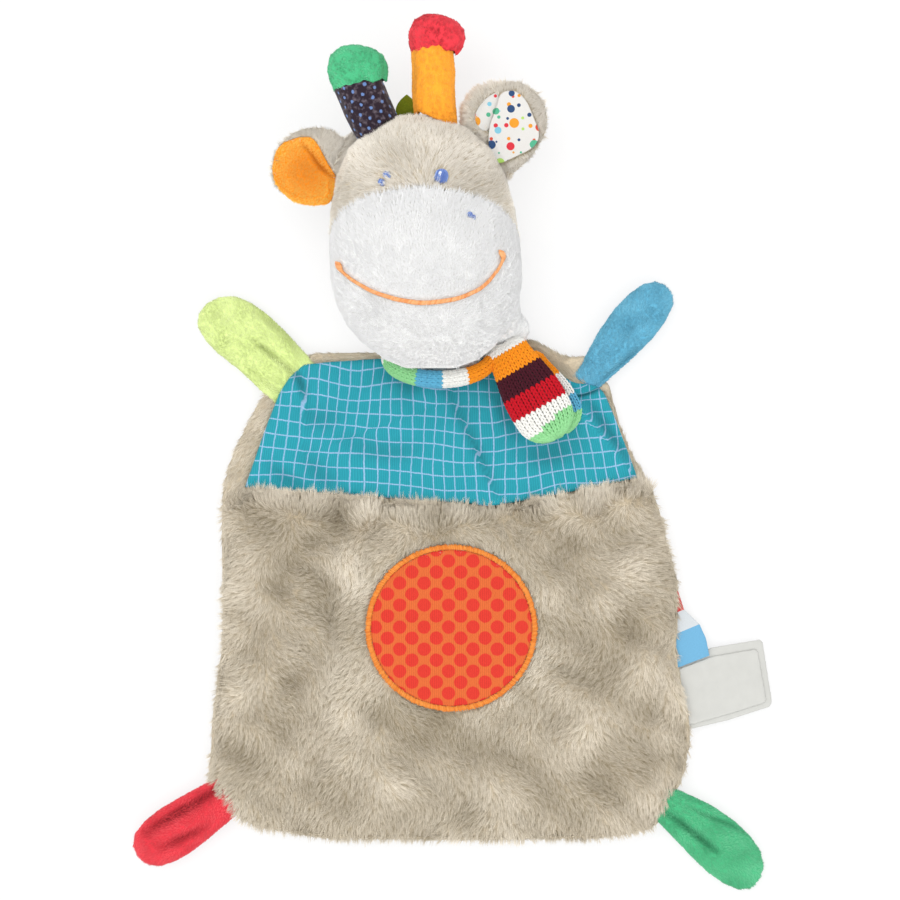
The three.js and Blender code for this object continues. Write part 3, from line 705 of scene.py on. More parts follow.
def grid_cotton():
    """Teal ribbed jersey with a printed grid of pale lines, darkened by painted shade in its valleys and its
    rib grooves.
    """
    cloth = Fabric("teal_grid_cotton", roughness=0.75, sheen=0.15)
    places = map_places(cloth.tree)
    wobble = (noise(places, 420) - 0.5) * (0.5 * MM)
    lines = []
    for value, pitch in zip(parts_of(places), (4.05 * MM, 4.85 * MM)):
        away = (((value + wobble) / pitch).sums("FRACT") - 0.5).sums("ABSOLUTE") * pitch
        lines.append(span(away, 0.1 * MM, 0.32 * MM, 1, 0, "SMOOTHSTEP"))
    worn = span(noise(places, 1500), 0.3, 0.6, 0.7, 1.0)
    colour = mix(lines[0].sums("MAXIMUM", lines[1]) * worn, srgb("2496A6"), srgb("96BADC"))
    return cloth.ribbed(colour, places, 0.78, painted_shade_in_hollows(cloth.tree))


def dotted_cotton():
    """Orange ribbed jersey printed with staggered red dots."""
    cloth = Fabric("red_dot_cotton", roughness=0.75, sheen=0.15)
    places = object_places(cloth.tree)
    pitch = (8.2 * MM, 7.4 * MM, 1.0)
    first = (3.0 * MM, -1.4 * MM, 0)
    second = (7.1 * MM, 2.3 * MM, 0)
    printed = dots(places, pitch, first, second, grain=900, ragged=0.4 * MM, edges=(2.25 * MM, 2.65 * MM))
    return cloth.ribbed(mix(printed, srgb("D46430"), srgb("D23528")), places, 0.7)


CONFETTI = ["D03440", "2E4A74", "E0962E", "52AA86", "7CBCD0", "A8CE68", "CE4A34", "DCA048"]


def confetti_cotton():
    """White cotton printed with scattered dots of many colours and sizes."""
    cloth = Fabric("confetti_cotton", roughness=0.8, sheen=0.1)
    places = map_places(cloth.tree)
    colour = srgb("D6D4D0")
    for index, (cell, size, least) in enumerate(((3.6, 0.75, 0.3), (6.4, 1.9, 0.5))):
        moved = vectors("ADD", places, (0.0131 * index, 0.0077, 0))
        inputs = {"Vector": moved, "Scale": 1000 / cell, "Randomness": 0.75}
        cells = node(cloth.tree, "TexVoronoi", inputs, voronoi_dimensions="2D").outputs
        pick = node(cloth.tree, "SeparateColor", {0: Value(cells["Color"])}).outputs
        edge = span(Value(pick[1]), 0, 1, least * size / cell, size / cell)
        shade = banded(Value(pick[0]), [(i / len(CONFETTI), code) for i, code in enumerate(CONFETTI)])
        colour = mix(Value(cells["Distance"]).sums("LESS_THAN", edge), colour, shade)
    weave = noise(places, 3000)
    return cloth.woven(scaled(colour, span(weave, 0.2, 0.8, 0.94, 1.03)), weave, depth=0.08, strength=0.6)


def dark_print():
    """Dark velour with pale mottling and small blue dots in rows."""
    cloth = Fabric("dark_speckled_velour", roughness=0.85, sheen=0.2)
    places = map_places(cloth.tree)
    mottling = span(noise(places, 520, 4.0), 0.5, 0.72, 0, 0.5)
    pitch = (4.6 * MM, 5.2 * MM, 1.0)
    first = (0, 0, 0)
    second = (2.3 * MM, 2.6 * MM, 0)
    printed = dots(places, pitch, first, second, grain=1300, ragged=0.7 * MM, edges=(0.75 * MM, 1.05 * MM))
    colour = mix(printed, mix(mottling, srgb("281C27"), srgb("8C808A")), srgb("6682B6"))
    return cloth.woven(colour, noise(places, 1800), depth=0.15, strength=0.8)


def yarn_material():
    """Wool yarn that takes its stripe's colour, with a twist and a little fuzz."""
    cloth = Fabric("scarf_yarn", roughness=0.85, sheen=0.06)
    twist = noise(object_places(cloth.tree), 1900, 1.0)
    colour = scaled(attribute(cloth.tree, "yarn", "Color"), span(twist, 0.25, 0.75, 0.86, 1.1))
    return cloth.woven(colour, twist, depth=0.12, strength=0.7)


def thread_material(name, dark, light):
    """Shiny embroidery thread, varied from stitch to stitch."""
    cloth = Fabric(name, roughness=0.6, sheen=0.1)
    fibres = noise(object_places(cloth.tree), 3200, 1.0)
    tone = attribute(cloth.tree, "tone") * 0.7 + fibres * 0.3
    return cloth.woven(mix(tone, srgb(dark), srgb(light)), fibres, depth=0.05, strength=0.5)


def satin_tape(name, code):
    """Smooth woven tape with a fine close weave and a soft gloss."""
    cloth = Fabric(name, roughness=0.38, sheen=0.05, specular=0.45)
    places = object_places(cloth.tree)
    weave = output(cloth.tree, "TexWave", 1, {"Vector": places, "Scale": 900, "Distortion": 0.6})
    colour = scaled(srgb(code)[:3], span(noise(places, 260, 3.0), 0.25, 0.75, 0.95, 1.02))
    return cloth.woven(colour, weave, depth=0.03, strength=0.4)


RIBBON_BANDS = [(0.0, "C63A38"), (0.244, "C4C9CC"), (0.48, "66A4C8")]


def banded_ribbon():
    """Woven ribbon with plain bands of colour along it."""
    cloth = Fabric("banded_ribbon", roughness=0.5, sheen=0.1, specular=0.35)
    colour = banded(parts_of(map_places(cloth.tree))[1], RIBBON_BANDS)
    weave = noise(object_places(cloth.tree), 2600, 1.0)
    return cloth.woven(scaled(colour, span(weave, 0.2, 0.8, 0.93, 1.04)), weave, depth=0.05, strength=0.5)


# Strand colours go from a darker root, which is painted shade deep in the pile, to a lighter tip.
beige_strands = strand_material("beige_pile", "C2B294", "F2E8D6")
# The head's beige pile is a lighter copy of the same plush: painted light on the head and ears.
lit_head_strands = strand_material("beige_head_lit_pile", "D8CDB9", "F6EFE3")
beige_cloth = mottled("beige_backing", "CFC0A6")
white_strands = strand_material("white_pile", "FBFBFA", "FFFFFF", specular=0.05)
white_cloth = mottled("white_backing", "ECECEA", amount=0.05)
velour_strands = {}
velour_cloth = {}
for velour, root, tip, ground in (
    ("lime", "CEE480", "F0FCBC", "DEF09C"),
    ("blue", "52A4C6", "88CEE6", "68B4D2"),
    ("red", "E23440", "FF646C", "E63C48"),
    ("green", "42B078", "7AD4A4", "4CB680"),
    ("orange", "FC8C10", "FFC058", "FCA430"),
    ("deep_orange", "FF7E00", "FFC458", "FF9614"),
):
    velour_strands[velour] = strand_material(velour + "_velour_pile", root, tip, sheen=0.05)
    velour_cloth[velour] = mottled(velour + "_velour_backing", ground, amount=0.3, sheen=0.05)
scarf_yarn = yarn_material()
blue_thread = thread_material("blue_thread", "3C5AA6", "9AB4E6")
white_thread = thread_material("white_thread", "DDE4F2", "FFFFFF")
orange_thread = thread_material("orange_thread", "DA8442", "F4BA84")
border_thread = thread_material("border_thread", "D06C1C", "EA9A48")
wool_fibre = mottled("polyester_wool", "ECEAE4", amount=0.3)


# Blanket
PATCH_CENTRE, PATCH_HALF = oval("belly_patch")
PATCH_RADIUS = PATCH_HALF[0]
PATCH_STRETCH = 1.03
BORDER_OUTER = oval("patch_border")[1][0]
BORDER_STITCHES = 640
BLANKET_TOP = 10 * MM
BLANKET_INSET = 1.1 * MM
BLANKET_SHARE = 0.93
LUMP_HEIGHT = 1.1
NAP_MIDDLE = np.array([0, -45 * MM, 0])
YOKE_SEAM = np.array([(-72, -9.5), (-40, -13.6), (-7, -16.7), (30, -13), (64, -7)]) * MM
# Where the pile is crushed and where it is brushed up: pixels of the camera's frame, with a radius. Crushed
# spots are also painted darker and brushed ones lighter, as painted shade and light.
CRUSHED = [
    (268, 528, 17), (334, 518, 15), (308, 540, 12), (276, 586, 13), (328, 612, 17), (287, 682, 14),
    (244, 750, 20), (324, 777, 26), (428, 745, 24), (480, 742, 26), (532, 528, 20), (574, 542, 16),
    (560, 634, 13), (628, 632, 20), (592, 676, 22), (602, 778, 25), (470, 815, 22), (440, 515, 12),
]
BRUSHED = [
    (369, 515, 12), (350, 556, 18), (344, 688, 28), (241, 694, 14), (551, 590, 17), (598, 602, 15),
    (503, 697, 16), (490, 790, 20), (392, 788, 18), (585, 742, 20), (660, 734, 16), (232, 600, 14),
    (640, 560, 18),
]
# Where the right edge is drawn in or stands out: height on the ground, reach and depth
WAIST_EDGE = 78 * MM
WAIST_REACH = 20 * MM
WAIST = [(-70.5, 15, 2.2), (-44, 12, -1.2)]
# The back layer's edge rises towards the neck: pixels of the camera's frame, with radii
RIM_ROLL = [(529, 343), (541, 350), (553, 357), (565, 363), (577, 363), (588, 361)]
RIM_RADII = (2.2, 2.5, 2.6, 2.6, 2.6, 2.4)
RIM_HEIGHT = 2.7 * MM


def from_patch(places):
    return np.linalg.norm((places[:, :2] - PATCH_CENTRE) / [PATCH_STRETCH, 1], axis=1)


def near_seam(places):
    """1 along the seam under the yoke, falling to 0 a little below it."""
    below = np.interp(places[:, 0], YOKE_SEAM[:, 0], YOKE_SEAM[:, 1]) - places[:, 1]
    wander = 2.6 * MM * ripple(places[:, :2], 13 * MM, 13)
    return ease(below, -4 * MM, -1 * MM) - ease(below + wander, 2.5 * MM, 10 * MM)


def dabs(places, spots):
    """Sum of soft round spots over places on the blanket."""
    total = np.zeros(len(places))
    for x, y, radius in spots:
        away = np.linalg.norm(places[:, :2] - on_ground([(x, y)], BLANKET_TOP), axis=1)
        total += bump(away / (radius * FRAME_WIDTH / FRAME_PIXELS))
    return total


def draw_in_waist(places):
    """Draws the blanket's edge in where the tabs are sewn to it."""
    edge = ease(places[:, 0], WAIST_EDGE - WAIST_REACH, WAIST_EDGE)
    for middle, reach, depth in WAIST:
        places[:, 0] -= depth * MM * bump((places[:, 1] - middle * MM) / (reach * MM)) * edge


def under_limbs(centres):
    """Whether places lie under the root of a limb."""
    found = np.zeros(len(centres), bool)
    for name in LIMBS:
        pivot, axis, outward = hinge(name + "_fold")
        gap = centres - pivot
        found |= (np.abs(gap @ axis) < 8.5 * MM) & (gap @ outward > -8 * MM)
    return found


def under_tabs(centres):
    """Whether places lie under the side tabs."""
    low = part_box("care_label")[0]
    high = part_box("ribbon_tab")[1]
    return (centres[:, 0] > low.x - 7 * MM) & (centres[:, 1] > low.y) & (centres[:, 1] < high.y)


def rim_nap(places, ups):
    """The back layer's pile lies along its rim."""
    out = unit((places - NAP_MIDDLE) * [1, 1, 0])
    return level(-out[:, 1], out[:, 0]) + 0.15 * out


def nap_turn(places):
    ground = places[:, :2]
    return -math.pi / 2 + 0.9 * ripple(ground, 46 * MM, 11) + 0.3 * ripple(ground, 16 * MM, 12)


def blanket_nap(places, ups):
    """The pile is brushed towards the hem, with cowlicks, over the edges and up over the yoke's seam."""
    turn = nap_turn(places)
    way = level(np.cos(turn), np.sin(turn))
    way = way + (np.array([0, 1.6, 0]) - way) * near_seam(places)[:, None]
    return way + ups * [1.6, 1.6, 0]


def blanket_lumps(places):
    waves = 0.45 * ripple(places[:, :2], 30 * MM, 21) + 0.3 * ripple(places[:, :2], 14 * MM, 22)
    return waves + dabs(places, BRUSHED) - dabs(places, CRUSHED)


def blanket_tone(places):
    # Painted shade and light: the pile is darker in the lumps' dips and crushed spots and lighter where
    # brushed up, and lighter or darker with the nap's way; it is also lighter along the yoke's seam.
    waves = 0.27 * blanket_lumps(places) + 0.08 * np.sin(2 * nap_turn(places))
    return 0.5 + waves + 0.2 * near_seam(places)


def blanket_lean(places):
    """The pile stands up where it parts at the yoke's seam."""
    seam = near_seam(places)
    return 0.95 - 0.55 * 4 * seam * (1 - seam)


def blanket_length(places):
    return BEIGE_PILE * (1 + 0.45 * near_seam(places))


def lay(cloth, source, share, **given):
    """Works out a sheet's flat size from its frame node, and does nothing more with it. The share is not
    used.
    """
    flat = tuple(2 * oval(source)[1])


def make_front_panel():
    cloth = soft_copy("front_panel_cloth", "front_panel", voxel=1.8, rounds=6)
    places, normals, _ = mesh_arrays(cloth)
    free = ease(from_patch(places), BORDER_OUTER + 2 * MM, BORDER_OUTER + 14 * MM)
    places -= normals * (BLANKET_INSET * (1 - ease(-normals[:, 2], 0.2, 0.8)))[:, None]
    lumps = (blanket_lumps(places) * LUMP_HEIGHT - LUMP_HEIGHT) * MM
    places[:, 2] += lumps * free * ease(normals[:, 2], 0.1, 0.6)
    # Painted shade: the hollow attribute darkens the backing in the dips of the lumps.
    point_values(cloth, "hollow", np.clip(-0.25 * blanket_lumps(places), 0, 0.3))
    draw_in_waist(places)
    set_places(cloth, places)
    dress(cloth, beige_cloth, "blanket", "beige_plush", "front_panel")

    def grow(centres, facing):
        outside = from_patch(centres) > PATCH_RADIUS + 1.6 * MM
        outside &= ~(under_tabs(centres) & (facing[:, 2] < 0.3))
        against_yoke = (facing[:, 1] > 0.5) & (centres[:, 2] < 6.5 * MM)
        dense = np.where(np.abs(facing[:, 2]) < 0.85, 2.0, 1.0) * (1 + 1.5 * near_seam(centres))
        return outside * ~against_yoke * (facing[:, 2] > -0.3) * dense

    strands = pile(
        "front_panel_pile", cloth, beige_strands, "blanket", "beige_plush", count=130000,
        length=blanket_length, lean=blanket_lean, nap=blanket_nap, tone=blanket_tone, grow=grow,
        tuft=(0.5, 14), grain=0.13, seed=31, parts=3,
    )
    lay(cloth, "front_panel", BLANKET_SHARE, rests_on=["back_panel_cloth"], with_pieces=strands)
    return cloth


def make_back_panel(*covers):
    rim = roll(RIM_ROLL, RIM_RADII, RIM_HEIGHT)
    cloth = soft_copy("back_panel_cloth", "back_panel", voxel=1.8, rounds=4, joined=rim)
    places, normals, _ = mesh_arrays(cloth)
    places -= normals * (BLANKET_INSET * ease(-normals[:, 2], -0.6, -0.1))[:, None]
    draw_in_waist(places)
    set_places(cloth, places)
    dress(cloth, beige_cloth, "blanket", "beige_plush", "back_panel")
    trees = [ray_tree(cover) for cover in covers]
    up = Vector(UP)

    def grow(centres, facing):
        hidden = [any(tree.ray_cast(Vector(c), up)[0] is not None for tree in trees) for c in centres]
        hidden = np.array(hidden) | under_limbs(centres) | under_tabs(centres)
        edge = np.where(facing[:, 2] < -0.5, 0.35, 1.3)
        return np.where(facing[:, 2] > 0.4, np.where(hidden, 0.0, 1.6), edge)

    strands = pile(
        "back_panel_pile", cloth, beige_strands, "blanket", "beige_plush", count=38000,
        length=3.4 * MM, lean=1.2, nap=rim_nap, tone=blanket_tone, grow=grow, seed=32,
    )
    lay(cloth, "back_panel", BLANKET_SHARE, with_pieces=strands)


# Yoke: folds as lines on the ground, with their width and height
YOKE_FOLDS = [
    ((-1, 24), (16, -15), 9, 1.5),
    ((28, 33), (56, 1), 7, 2.2),
    ((-50, 33), (-50, 8), 6, 1.2),
    ((-42, 4), (-14, 14), 8, 0.9),
]
# Valleys in the yoke: a route in pixels of the camera's frame, with its width, depth and painted shade
YOKE_VALLEYS = [
    ([(564, 389), (575, 395), (586, 391), (604, 381)], 1.1, 1.0, 0.7),
    ([(583, 396), (604, 424), (618, 444), (632, 464)], 1.6, 0.9, 0.4),
    ([(446, 384), (457, 410), (470, 434), (484, 464), (496, 494)], 1.8, 0.8, 0.3),
    ([(292, 370), (301, 381), (305, 398)], 1.5, 0.9, 0.5),
    ([(270, 464), (281, 477), (304, 484)], 2.5, 0.5, 0.25),
    ([(304, 456), (319, 475), (338, 486)], 3.6, 0.7, 0.22),
    ([(300, 414), (322, 420), (340, 416)], 3.6, 0.6, 0.2),
    ([(346, 436), (368, 450), (398, 453), (416, 447)], 3.6, 0.6, 0.2),
    ([(391, 368), (410, 380), (409, 396)], 3.2, 0.7, 0.28),
    ([(493, 386), (505, 415), (519, 438)], 2.6, 0.5, 0.35),
    ([(526, 449), (545, 459), (571, 447)], 4.2, 0.6, 0.3),
]
YOKE_TOP = 7 * MM
YOKE_STEEPNESS = 0.25
YOKE_TUCK = np.array([42, 30]) * MM
YOKE_TUCK_REACH = np.array([9, 11]) * MM
YOKE_TUCK_DROP = 5.5 * MM
YOKE_VERTEX = 15 * MM
YOKE_BASE = 18 * MM
YOKE_TILT = (0.075, 0.12)
YOKE_FLARE = 2.2
YOKE_SHARE = 0.85


def make_yoke():
    cloth = soft_copy("yoke_cloth", "yoke_panel", voxel=0.9, rounds=5)
    places, normals, _ = mesh_arrays(cloth)
    top = ease(normals[:, 2], 0.1, 0.6)
    height = 0.45 * MM * ripple(places[:, :2], 24 * MM, 41) + 0.2 * MM * ripple(places[:, :2], 9 * MM, 42)
    slip = np.zeros(len(places))
    for start, end, width, rise in YOKE_FOLDS:
        height += fold(places, start, end, width, rise, YOKE_STEEPNESS)
        away, share = off_line(places, start, end)
        fade = np.sin(math.pi * (0.1 + 0.8 * share)) * bump(away / (2 * width * MM))
        slip += 0.5 * rise * MM * fade * np.tanh(away / (0.4 * MM))
    # Painted shade in the valleys, kept in the hollow attribute.
    hollow = np.zeros(len(places))
    for route, width, depth, shade in YOKE_VALLEYS:
        valley = groove(places, on_ground(route, YOKE_TOP), width)
        height -= depth * MM * valley
        hollow = np.maximum(hollow, shade * valley)
    places[:, 2] += height * top
    point_values(cloth, "hollow", hollow * top)
    ground = places[:, :2].copy()
    tuck = YOKE_TUCK_DROP * bump((places[:, 0] - YOKE_TUCK[0]) / YOKE_TUCK_REACH[0])
    places[:, 1] -= tuck * ease(places[:, 1], YOKE_TUCK[1] - YOKE_TUCK_REACH[1], YOKE_TUCK[1])
    set_places(cloth, places)
    offset = ground[:, 0] - YOKE_VERTEX
    tilt = np.where(offset < 0, offset * YOKE_TILT[0], -offset * YOKE_TILT[1])
    flared = ground[:, 0] / (1 - YOKE_FLARE * (ground[:, 1] + YOKE_BASE))
    across = flared + 0.7 * MM * ripple(ground, 30 * MM, 43) + height * 0.35 + slip
    along = ground[:, 1] + tilt + 0.6 * MM * ripple(ground, 26 * MM, 44) + height * 0.35 - slip
    cloth_map(cloth, across, along)
    dress(cloth, grid_cotton(), "blanket", "grid_cotton", "yoke_panel")
    lay(cloth, "yoke_panel", YOKE_SHARE, rests_on=["back_panel_cloth"])
    return cloth


def make_patch():
    patch = soft_copy("belly_patch_cloth", "belly_patch", voxel=0.55, rounds=2)
    places, normals, _ = mesh_arrays(patch)
    middle = 1 - ease(from_patch(places), PATCH_RADIUS - 4 * MM, PATCH_RADIUS)
    places[:, 0] = PATCH_CENTRE[0] + (places[:, 0] - PATCH_CENTRE[0]) * PATCH_STRETCH
    waves = (0.3 + 0.3 * ripple(places[:, :2], 17 * MM, 51)) * MM
    places[:, 2] += waves * middle * ease(normals[:, 2], 0, 0.5)
    set_places(patch, places)
    dress(patch, dotted_cotton(), "blanket", "dotted_cotton", "belly_patch")
    count = BORDER_STITCHES
    turns = np.arange(count) * TURN / count
    ways = level(np.cos(turns) * PATCH_STRETCH, np.sin(turns))
    slant = level(-np.sin(turns), np.cos(turns)) * 0.25 * MM
    centre = np.array([*PATCH_CENTRE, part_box("patch_border")[0].z + 0.5 * MM])
    ups = np.tile(UP, (count, 1))
    rng = np.random.default_rng(52)
    inner = centre + ways * (PATCH_RADIUS - 0.15 * MM + rng.normal(0, 0.12 * MM, (count, 1))) - slant
    outer = centre + ways * (BORDER_OUTER - 0.5 * MM + rng.normal(0, 0.15 * MM, (count, 1))) + slant
    tones = rng.random(count)
    border = thread_object("patch_border_stitches", inner, outer, ups, tones, radius=0.2 * MM, arch=0.8 * MM)
    dress(border, border_thread, "blanket", "satin_stitch", "patch_border")


# Limbs: colour, how far the root narrows, and creases as start, end, width and depth
LIMBS = {
    "left_arm": ("lime", 0.0, [
        ((-66, 38.5), (-54, 31), 1.1, 1.5),
        ((-70, 30.5), (-62, 26.5), 1.2, 0.8),
        ((-65, 49.5), (-55, 41), 1.4, 0.8),
    ]),
    "right_arm": ("blue", 0.22, [
        ((51, 27), (65, 37), 1.1, 1.2),
        ((57, 40), (69, 52), 3.4, 0.5),
    ]),
    "left_leg": ("red", 0.1, [
        ((-79, -112), (-103, -126), 2.0, 2.6),
        ((-84, -125), (-97, -131.5), 1.6, 1.8),
    ]),
    "right_leg": ("green", 0.2, [
        ((75.5, -122), (89, -132.5), 1.3, 2.2),
        ((83, -119), (99, -126), 1.1, 1.2),
    ]),
}
LIMB_TUCK = 6.5 * MM
LIMB_SEAM = 4.35 * MM
LIMB_BEND = 4 * MM
LIMB_INSET = 0.7
WOOL_LOW = 1.5 * MM
WOOL_INSET = 1.1
DEEP_CREASE = 2.0 * MM


def make_limb(name, colour, narrow, creases, seed):
    pivot, axis, outward = hinge(name + "_fold")
    along = -axis

    def creased(places):
        return sum(fold(places, *line) for line in creases)

    cover = soft_copy(name + "_cover", name + "_front", name + "_back", voxel=0.9, rounds=5, hull=True)
    places, normals, _ = mesh_arrays(cover)
    top = ease(normals[:, 2], 0.0, 0.5)
    depth = creased(places)
    # Painted shade in the creases, kept in the hollow attribute of the cover.
    point_values(cover, "hollow", np.clip(0.6 * depth / DEEP_CREASE, 0, 0.7) * top)
    places -= normals * LIMB_INSET * MM
    places[:, 2] -= (depth + 0.25 * MM * ripple(places[:, :2], 12 * MM, seed)) * top
    root = 1 - ease((places - pivot) @ outward, -1 * MM, 8 * MM)
    side = (places - pivot) @ along
    places -= outward * (LIMB_TUCK * root)[:, None] + along * (narrow * side * root)[:, None]
    places[:, 2] += (LIMB_SEAM - places[:, 2]) * 0.6 * root
    places[:, 2] = np.maximum(places[:, 2], FLOOR_GAP)
    set_places(cover, places)
    wool = soft_copy(name + "_filling_wool", name + "_filling", voxel=1.2, rounds=3)
    places, normals, _ = mesh_arrays(wool)
    depth = creased(places)
    places -= normals * WOOL_INSET * MM
    places[:, 2] -= depth * ease(normals[:, 2], -0.2, 0.3)
    places[:, 2] = np.maximum(places[:, 2], WOOL_LOW)
    set_places(wool, places)

    def nap(roots, ups):
        return outward + along * (0.7 * ripple(roots[:, :2], 16 * MM, seed + 1))[:, None]

    def tone(roots):
        waves = 0.14 * ripple(roots[:, :2], 10 * MM, seed + 2)
        # Painted shade: the pile is darker in the creases.
        return 0.6 + waves - 0.5 * np.minimum(creased(roots) / DEEP_CREASE, 0.8)

    slot = colour + "_velour"
    bend = (pivot - outward * LIMB_BEND, pivot + outward * LIMB_BEND)
    dress(cover, velour_cloth[colour], name, slot, name + "_front", name + "_back", fill=0.35, bend=bend)
    pile(
        name + "_pile", cover, velour_strands[colour], name, slot, bend=bend, count=13000, length=VELOUR_PILE,
        lean=0.85, nap=nap, tone=tone, tuft=(0.3, 6), seed=seed + 3,
    )
    dress(wool, wool_fibre, name, "polyester_fibre", name + "_filling", fill=0.5)


# Scarf: stripes as a start and a yarn
YARN = {
    "white": srgb("E9E8E3"), "orange": srgb("F0921A"), "maroon": srgb("45101F"), "red": srgb("C00C20"),
    "green": srgb("8ECF90"), "blue": srgb("5CAACB"),
}
# The core is the stripe's colour at half level: painted shade in the gaps between stitches.
CORE_SHADE = [0.5, 0.5, 0.5, 1]
FRONT_BANDS = [
    (0.0, "white"), (0.1, "orange"), (0.295, "maroon"), (0.495, "red"), (0.68, "white"), (0.835, "green"),
]
REAR_BANDS = [(0.0, "orange"), (0.37, "white"), (0.65, "blue"), (0.885, "green")]
NECK_BANDS = [
    (-90, "white"), (-17, "green"), (-8.2, "blue"), (0.2, "white"), (9.5, "orange"), (17, "white"),
]
STRIPE_SKEW = 0.05
TAIL_ROOT_HALF = 6.6 * MM
TAIL_END_HALF = 9.7 * MM
TAIL_LENGTH = 29.4 * MM
NECKBAND_HALF = np.array([17.2, 9.4]) * MM
NECKBAND_SECTION = np.array([2.0, 3.0]) * MM


def yarn_at(bands, along):
    starts = np.array([start for start, _ in bands])
    shades = np.array([YARN[name] for _, name in bands])
    return shades[np.clip(np.searchsorted(starts, along, side="right") - 1, 0, len(bands) - 1)]


def knit(name, surface, core, stripe, columns, rows, seed):
    """Stocking stitch over a surface: two slanted lobes for each stitch, on a close core darkened as painted
    shade between the stitches.
    """
    rng = np.random.default_rng(seed)
    column, row = np.meshgrid(np.arange(columns), np.arange(rows))
    column = column.ravel() + 0.5
    row = row.ravel() + 0.5
    halves = []
    for sign in (-1, 1):
        start = surface((column + sign * 0.47) / columns, (row - 0.75) / rows)
        end = surface((column + sign * 0.1) / columns, (row + 0.8) / rows)
        up = unit((start + end) / 2 - core(row / rows))
        halves.append((start, end, up, stripe(column / columns, row / rows)))
    starts, ends, ups, colours = (np.concatenate(part) for part in zip(*halves))
    thick = np.linalg.norm(ends - starts, axis=1) * 0.195 * rng.uniform(0.92, 1.08, len(starts))
    places, loops, sizes, corners = lobe_arrays(starts, ends, ups, thick, 0.15 * MM)
    sides = columns * 2
    levels = rows * 2
    turn, height = np.meshgrid(np.arange(sides) / sides, np.linspace(0, 1, levels + 1))
    skin = surface(turn.ravel(), height.ravel(), -0.25 * MM)
    index = np.arange(len(skin)).reshape(levels + 1, sides) + len(places)
    after = np.roll(index, -1, axis=1)
    quads = np.stack([index[:-1], after[:-1], after[1:], index[1:]], axis=2).reshape(-1, 4)
    obj = new_object(
        name,
        np.concatenate([places, skin]),
        np.concatenate([loops, quads.ravel()]),
        np.concatenate([sizes, np.full(len(quads), 4)]),
    )
    shade = [np.repeat(colours, corners, axis=0), stripe(turn.ravel(), height.ravel()) * CORE_SHADE]
    yarn = obj.data.attributes.new("yarn", "FLOAT_COLOR", "POINT")
    write(yarn.data, "color", np.concatenate(shade))
    return obj


def make_tail(side, joint, bands, overlap, shift, seed):
    body = side + "_tail"
    source = "scarf_" + body
    low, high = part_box(source)
    _, axis, way = hinge("front_tail_lift")
    across = -axis
    root = hinge(joint)[0] - way * overlap + across * shift
    root[2] = (low.z + high.z) / 2
    half_depth = (high.z - low.z) / 2 - 0.5 * MM
    length = TAIL_LENGTH + overlap

    def widths(v):
        widen = TAIL_ROOT_HALF + (TAIL_END_HALF - TAIL_ROOT_HALF) * ease(v, 0, 0.6)
        close = np.sqrt(np.maximum(1 - np.clip((v - 0.72) / 0.28, 0, 1) ** 2.4, 0.0))
        open_end = np.sqrt(np.maximum(1 - np.clip((0.06 - v) / 0.06, 0, 1) ** 2.0, 0.02))
        return widen * close * open_end

    def core(v):
        return root + way * (np.clip(v, 0, 1) * length)[:, None]

    angles = np.linspace(0, TURN, 721)
    steps = np.hypot(np.sin(angles[:-1]) * TAIL_END_HALF, np.cos(angles[:-1]) * half_depth)
    around = np.concatenate([[0], np.cumsum(steps)]) / steps.sum()

    def surface(u, v, grow=0.0):
        v = np.clip(v, 0, 1)
        angle = np.interp(np.mod(u, 1), around, angles)
        wide = widths(v)
        deep = half_depth * np.sqrt(np.clip(wide / TAIL_END_HALF, 0.0, 1.0))
        side = np.cos(angle) * np.maximum(wide + grow, 0)
        up = np.sin(angle) * np.maximum(deep + grow, 0)
        return core(v) + across * side[:, None] + UP * up[:, None]

    def stripe(u, v):
        return yarn_at(bands, v + STRIPE_SKEW * np.cos(TURN * u) * ease(v, 0.7, 0.85))

    tail = knit(f"scarf_{side}_knit", surface, core, stripe, columns=22, rows=25, seed=seed)
    dress(tail, scarf_yarn, body, "scarf_knit", source, fill=0.3)


def make_neckband():
    centre, axis, _ = hinge("head_turn")
    front = np.array([0, -axis[2], axis[1]])
    side = np.array([1.0, 0, 0])

    def ring(across, along):
        return side * across[:, None] - front * along[:, None]

    def core(v):
        return centre + ring(NECKBAND_HALF[0] * np.cos(TURN * v), NECKBAND_HALF[1] * np.sin(TURN * v))

    def surface(u, v, grow=0.0):
        out = unit(ring(np.cos(TURN * v) / NECKBAND_HALF[0], np.sin(TURN * v) / NECKBAND_HALF[1]))
        wide = (NECKBAND_SECTION[0] + grow) * np.cos(TURN * u)
        tall = (NECKBAND_SECTION[1] + grow) * np.sin(TURN * u)
        return core(v) + out * wide[:, None] + axis * tall[:, None]

    def stripe(u, v):
        return yarn_at(NECK_BANDS, (core(v)[:, 0] - centre[0]) / MM)

    band = knit("scarf_neckband_knit", surface, core, stripe, columns=11, rows=62, seed=63)
    dress(band, scarf_yarn, "neck", "scarf_knit", "scarf_neckband", fill=0.4)


# Head
NECK = hinge("neck_nod")[0]
crown_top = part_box("head_crown")[1].y
muzzle_low, muzzle_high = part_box("muzzle_cover")
HEAD_MIDDLE = np.array([(muzzle_low.x + muzzle_high.x) / 2, (muzzle_low.y + crown_top) / 2, 25 * MM])
SCOOP = np.array([24, 19, 19]) * MM
CROWN_DROP = 2.2 * MM
CROWN_WHORL = np.array([-8.9, 84, 45]) * MM
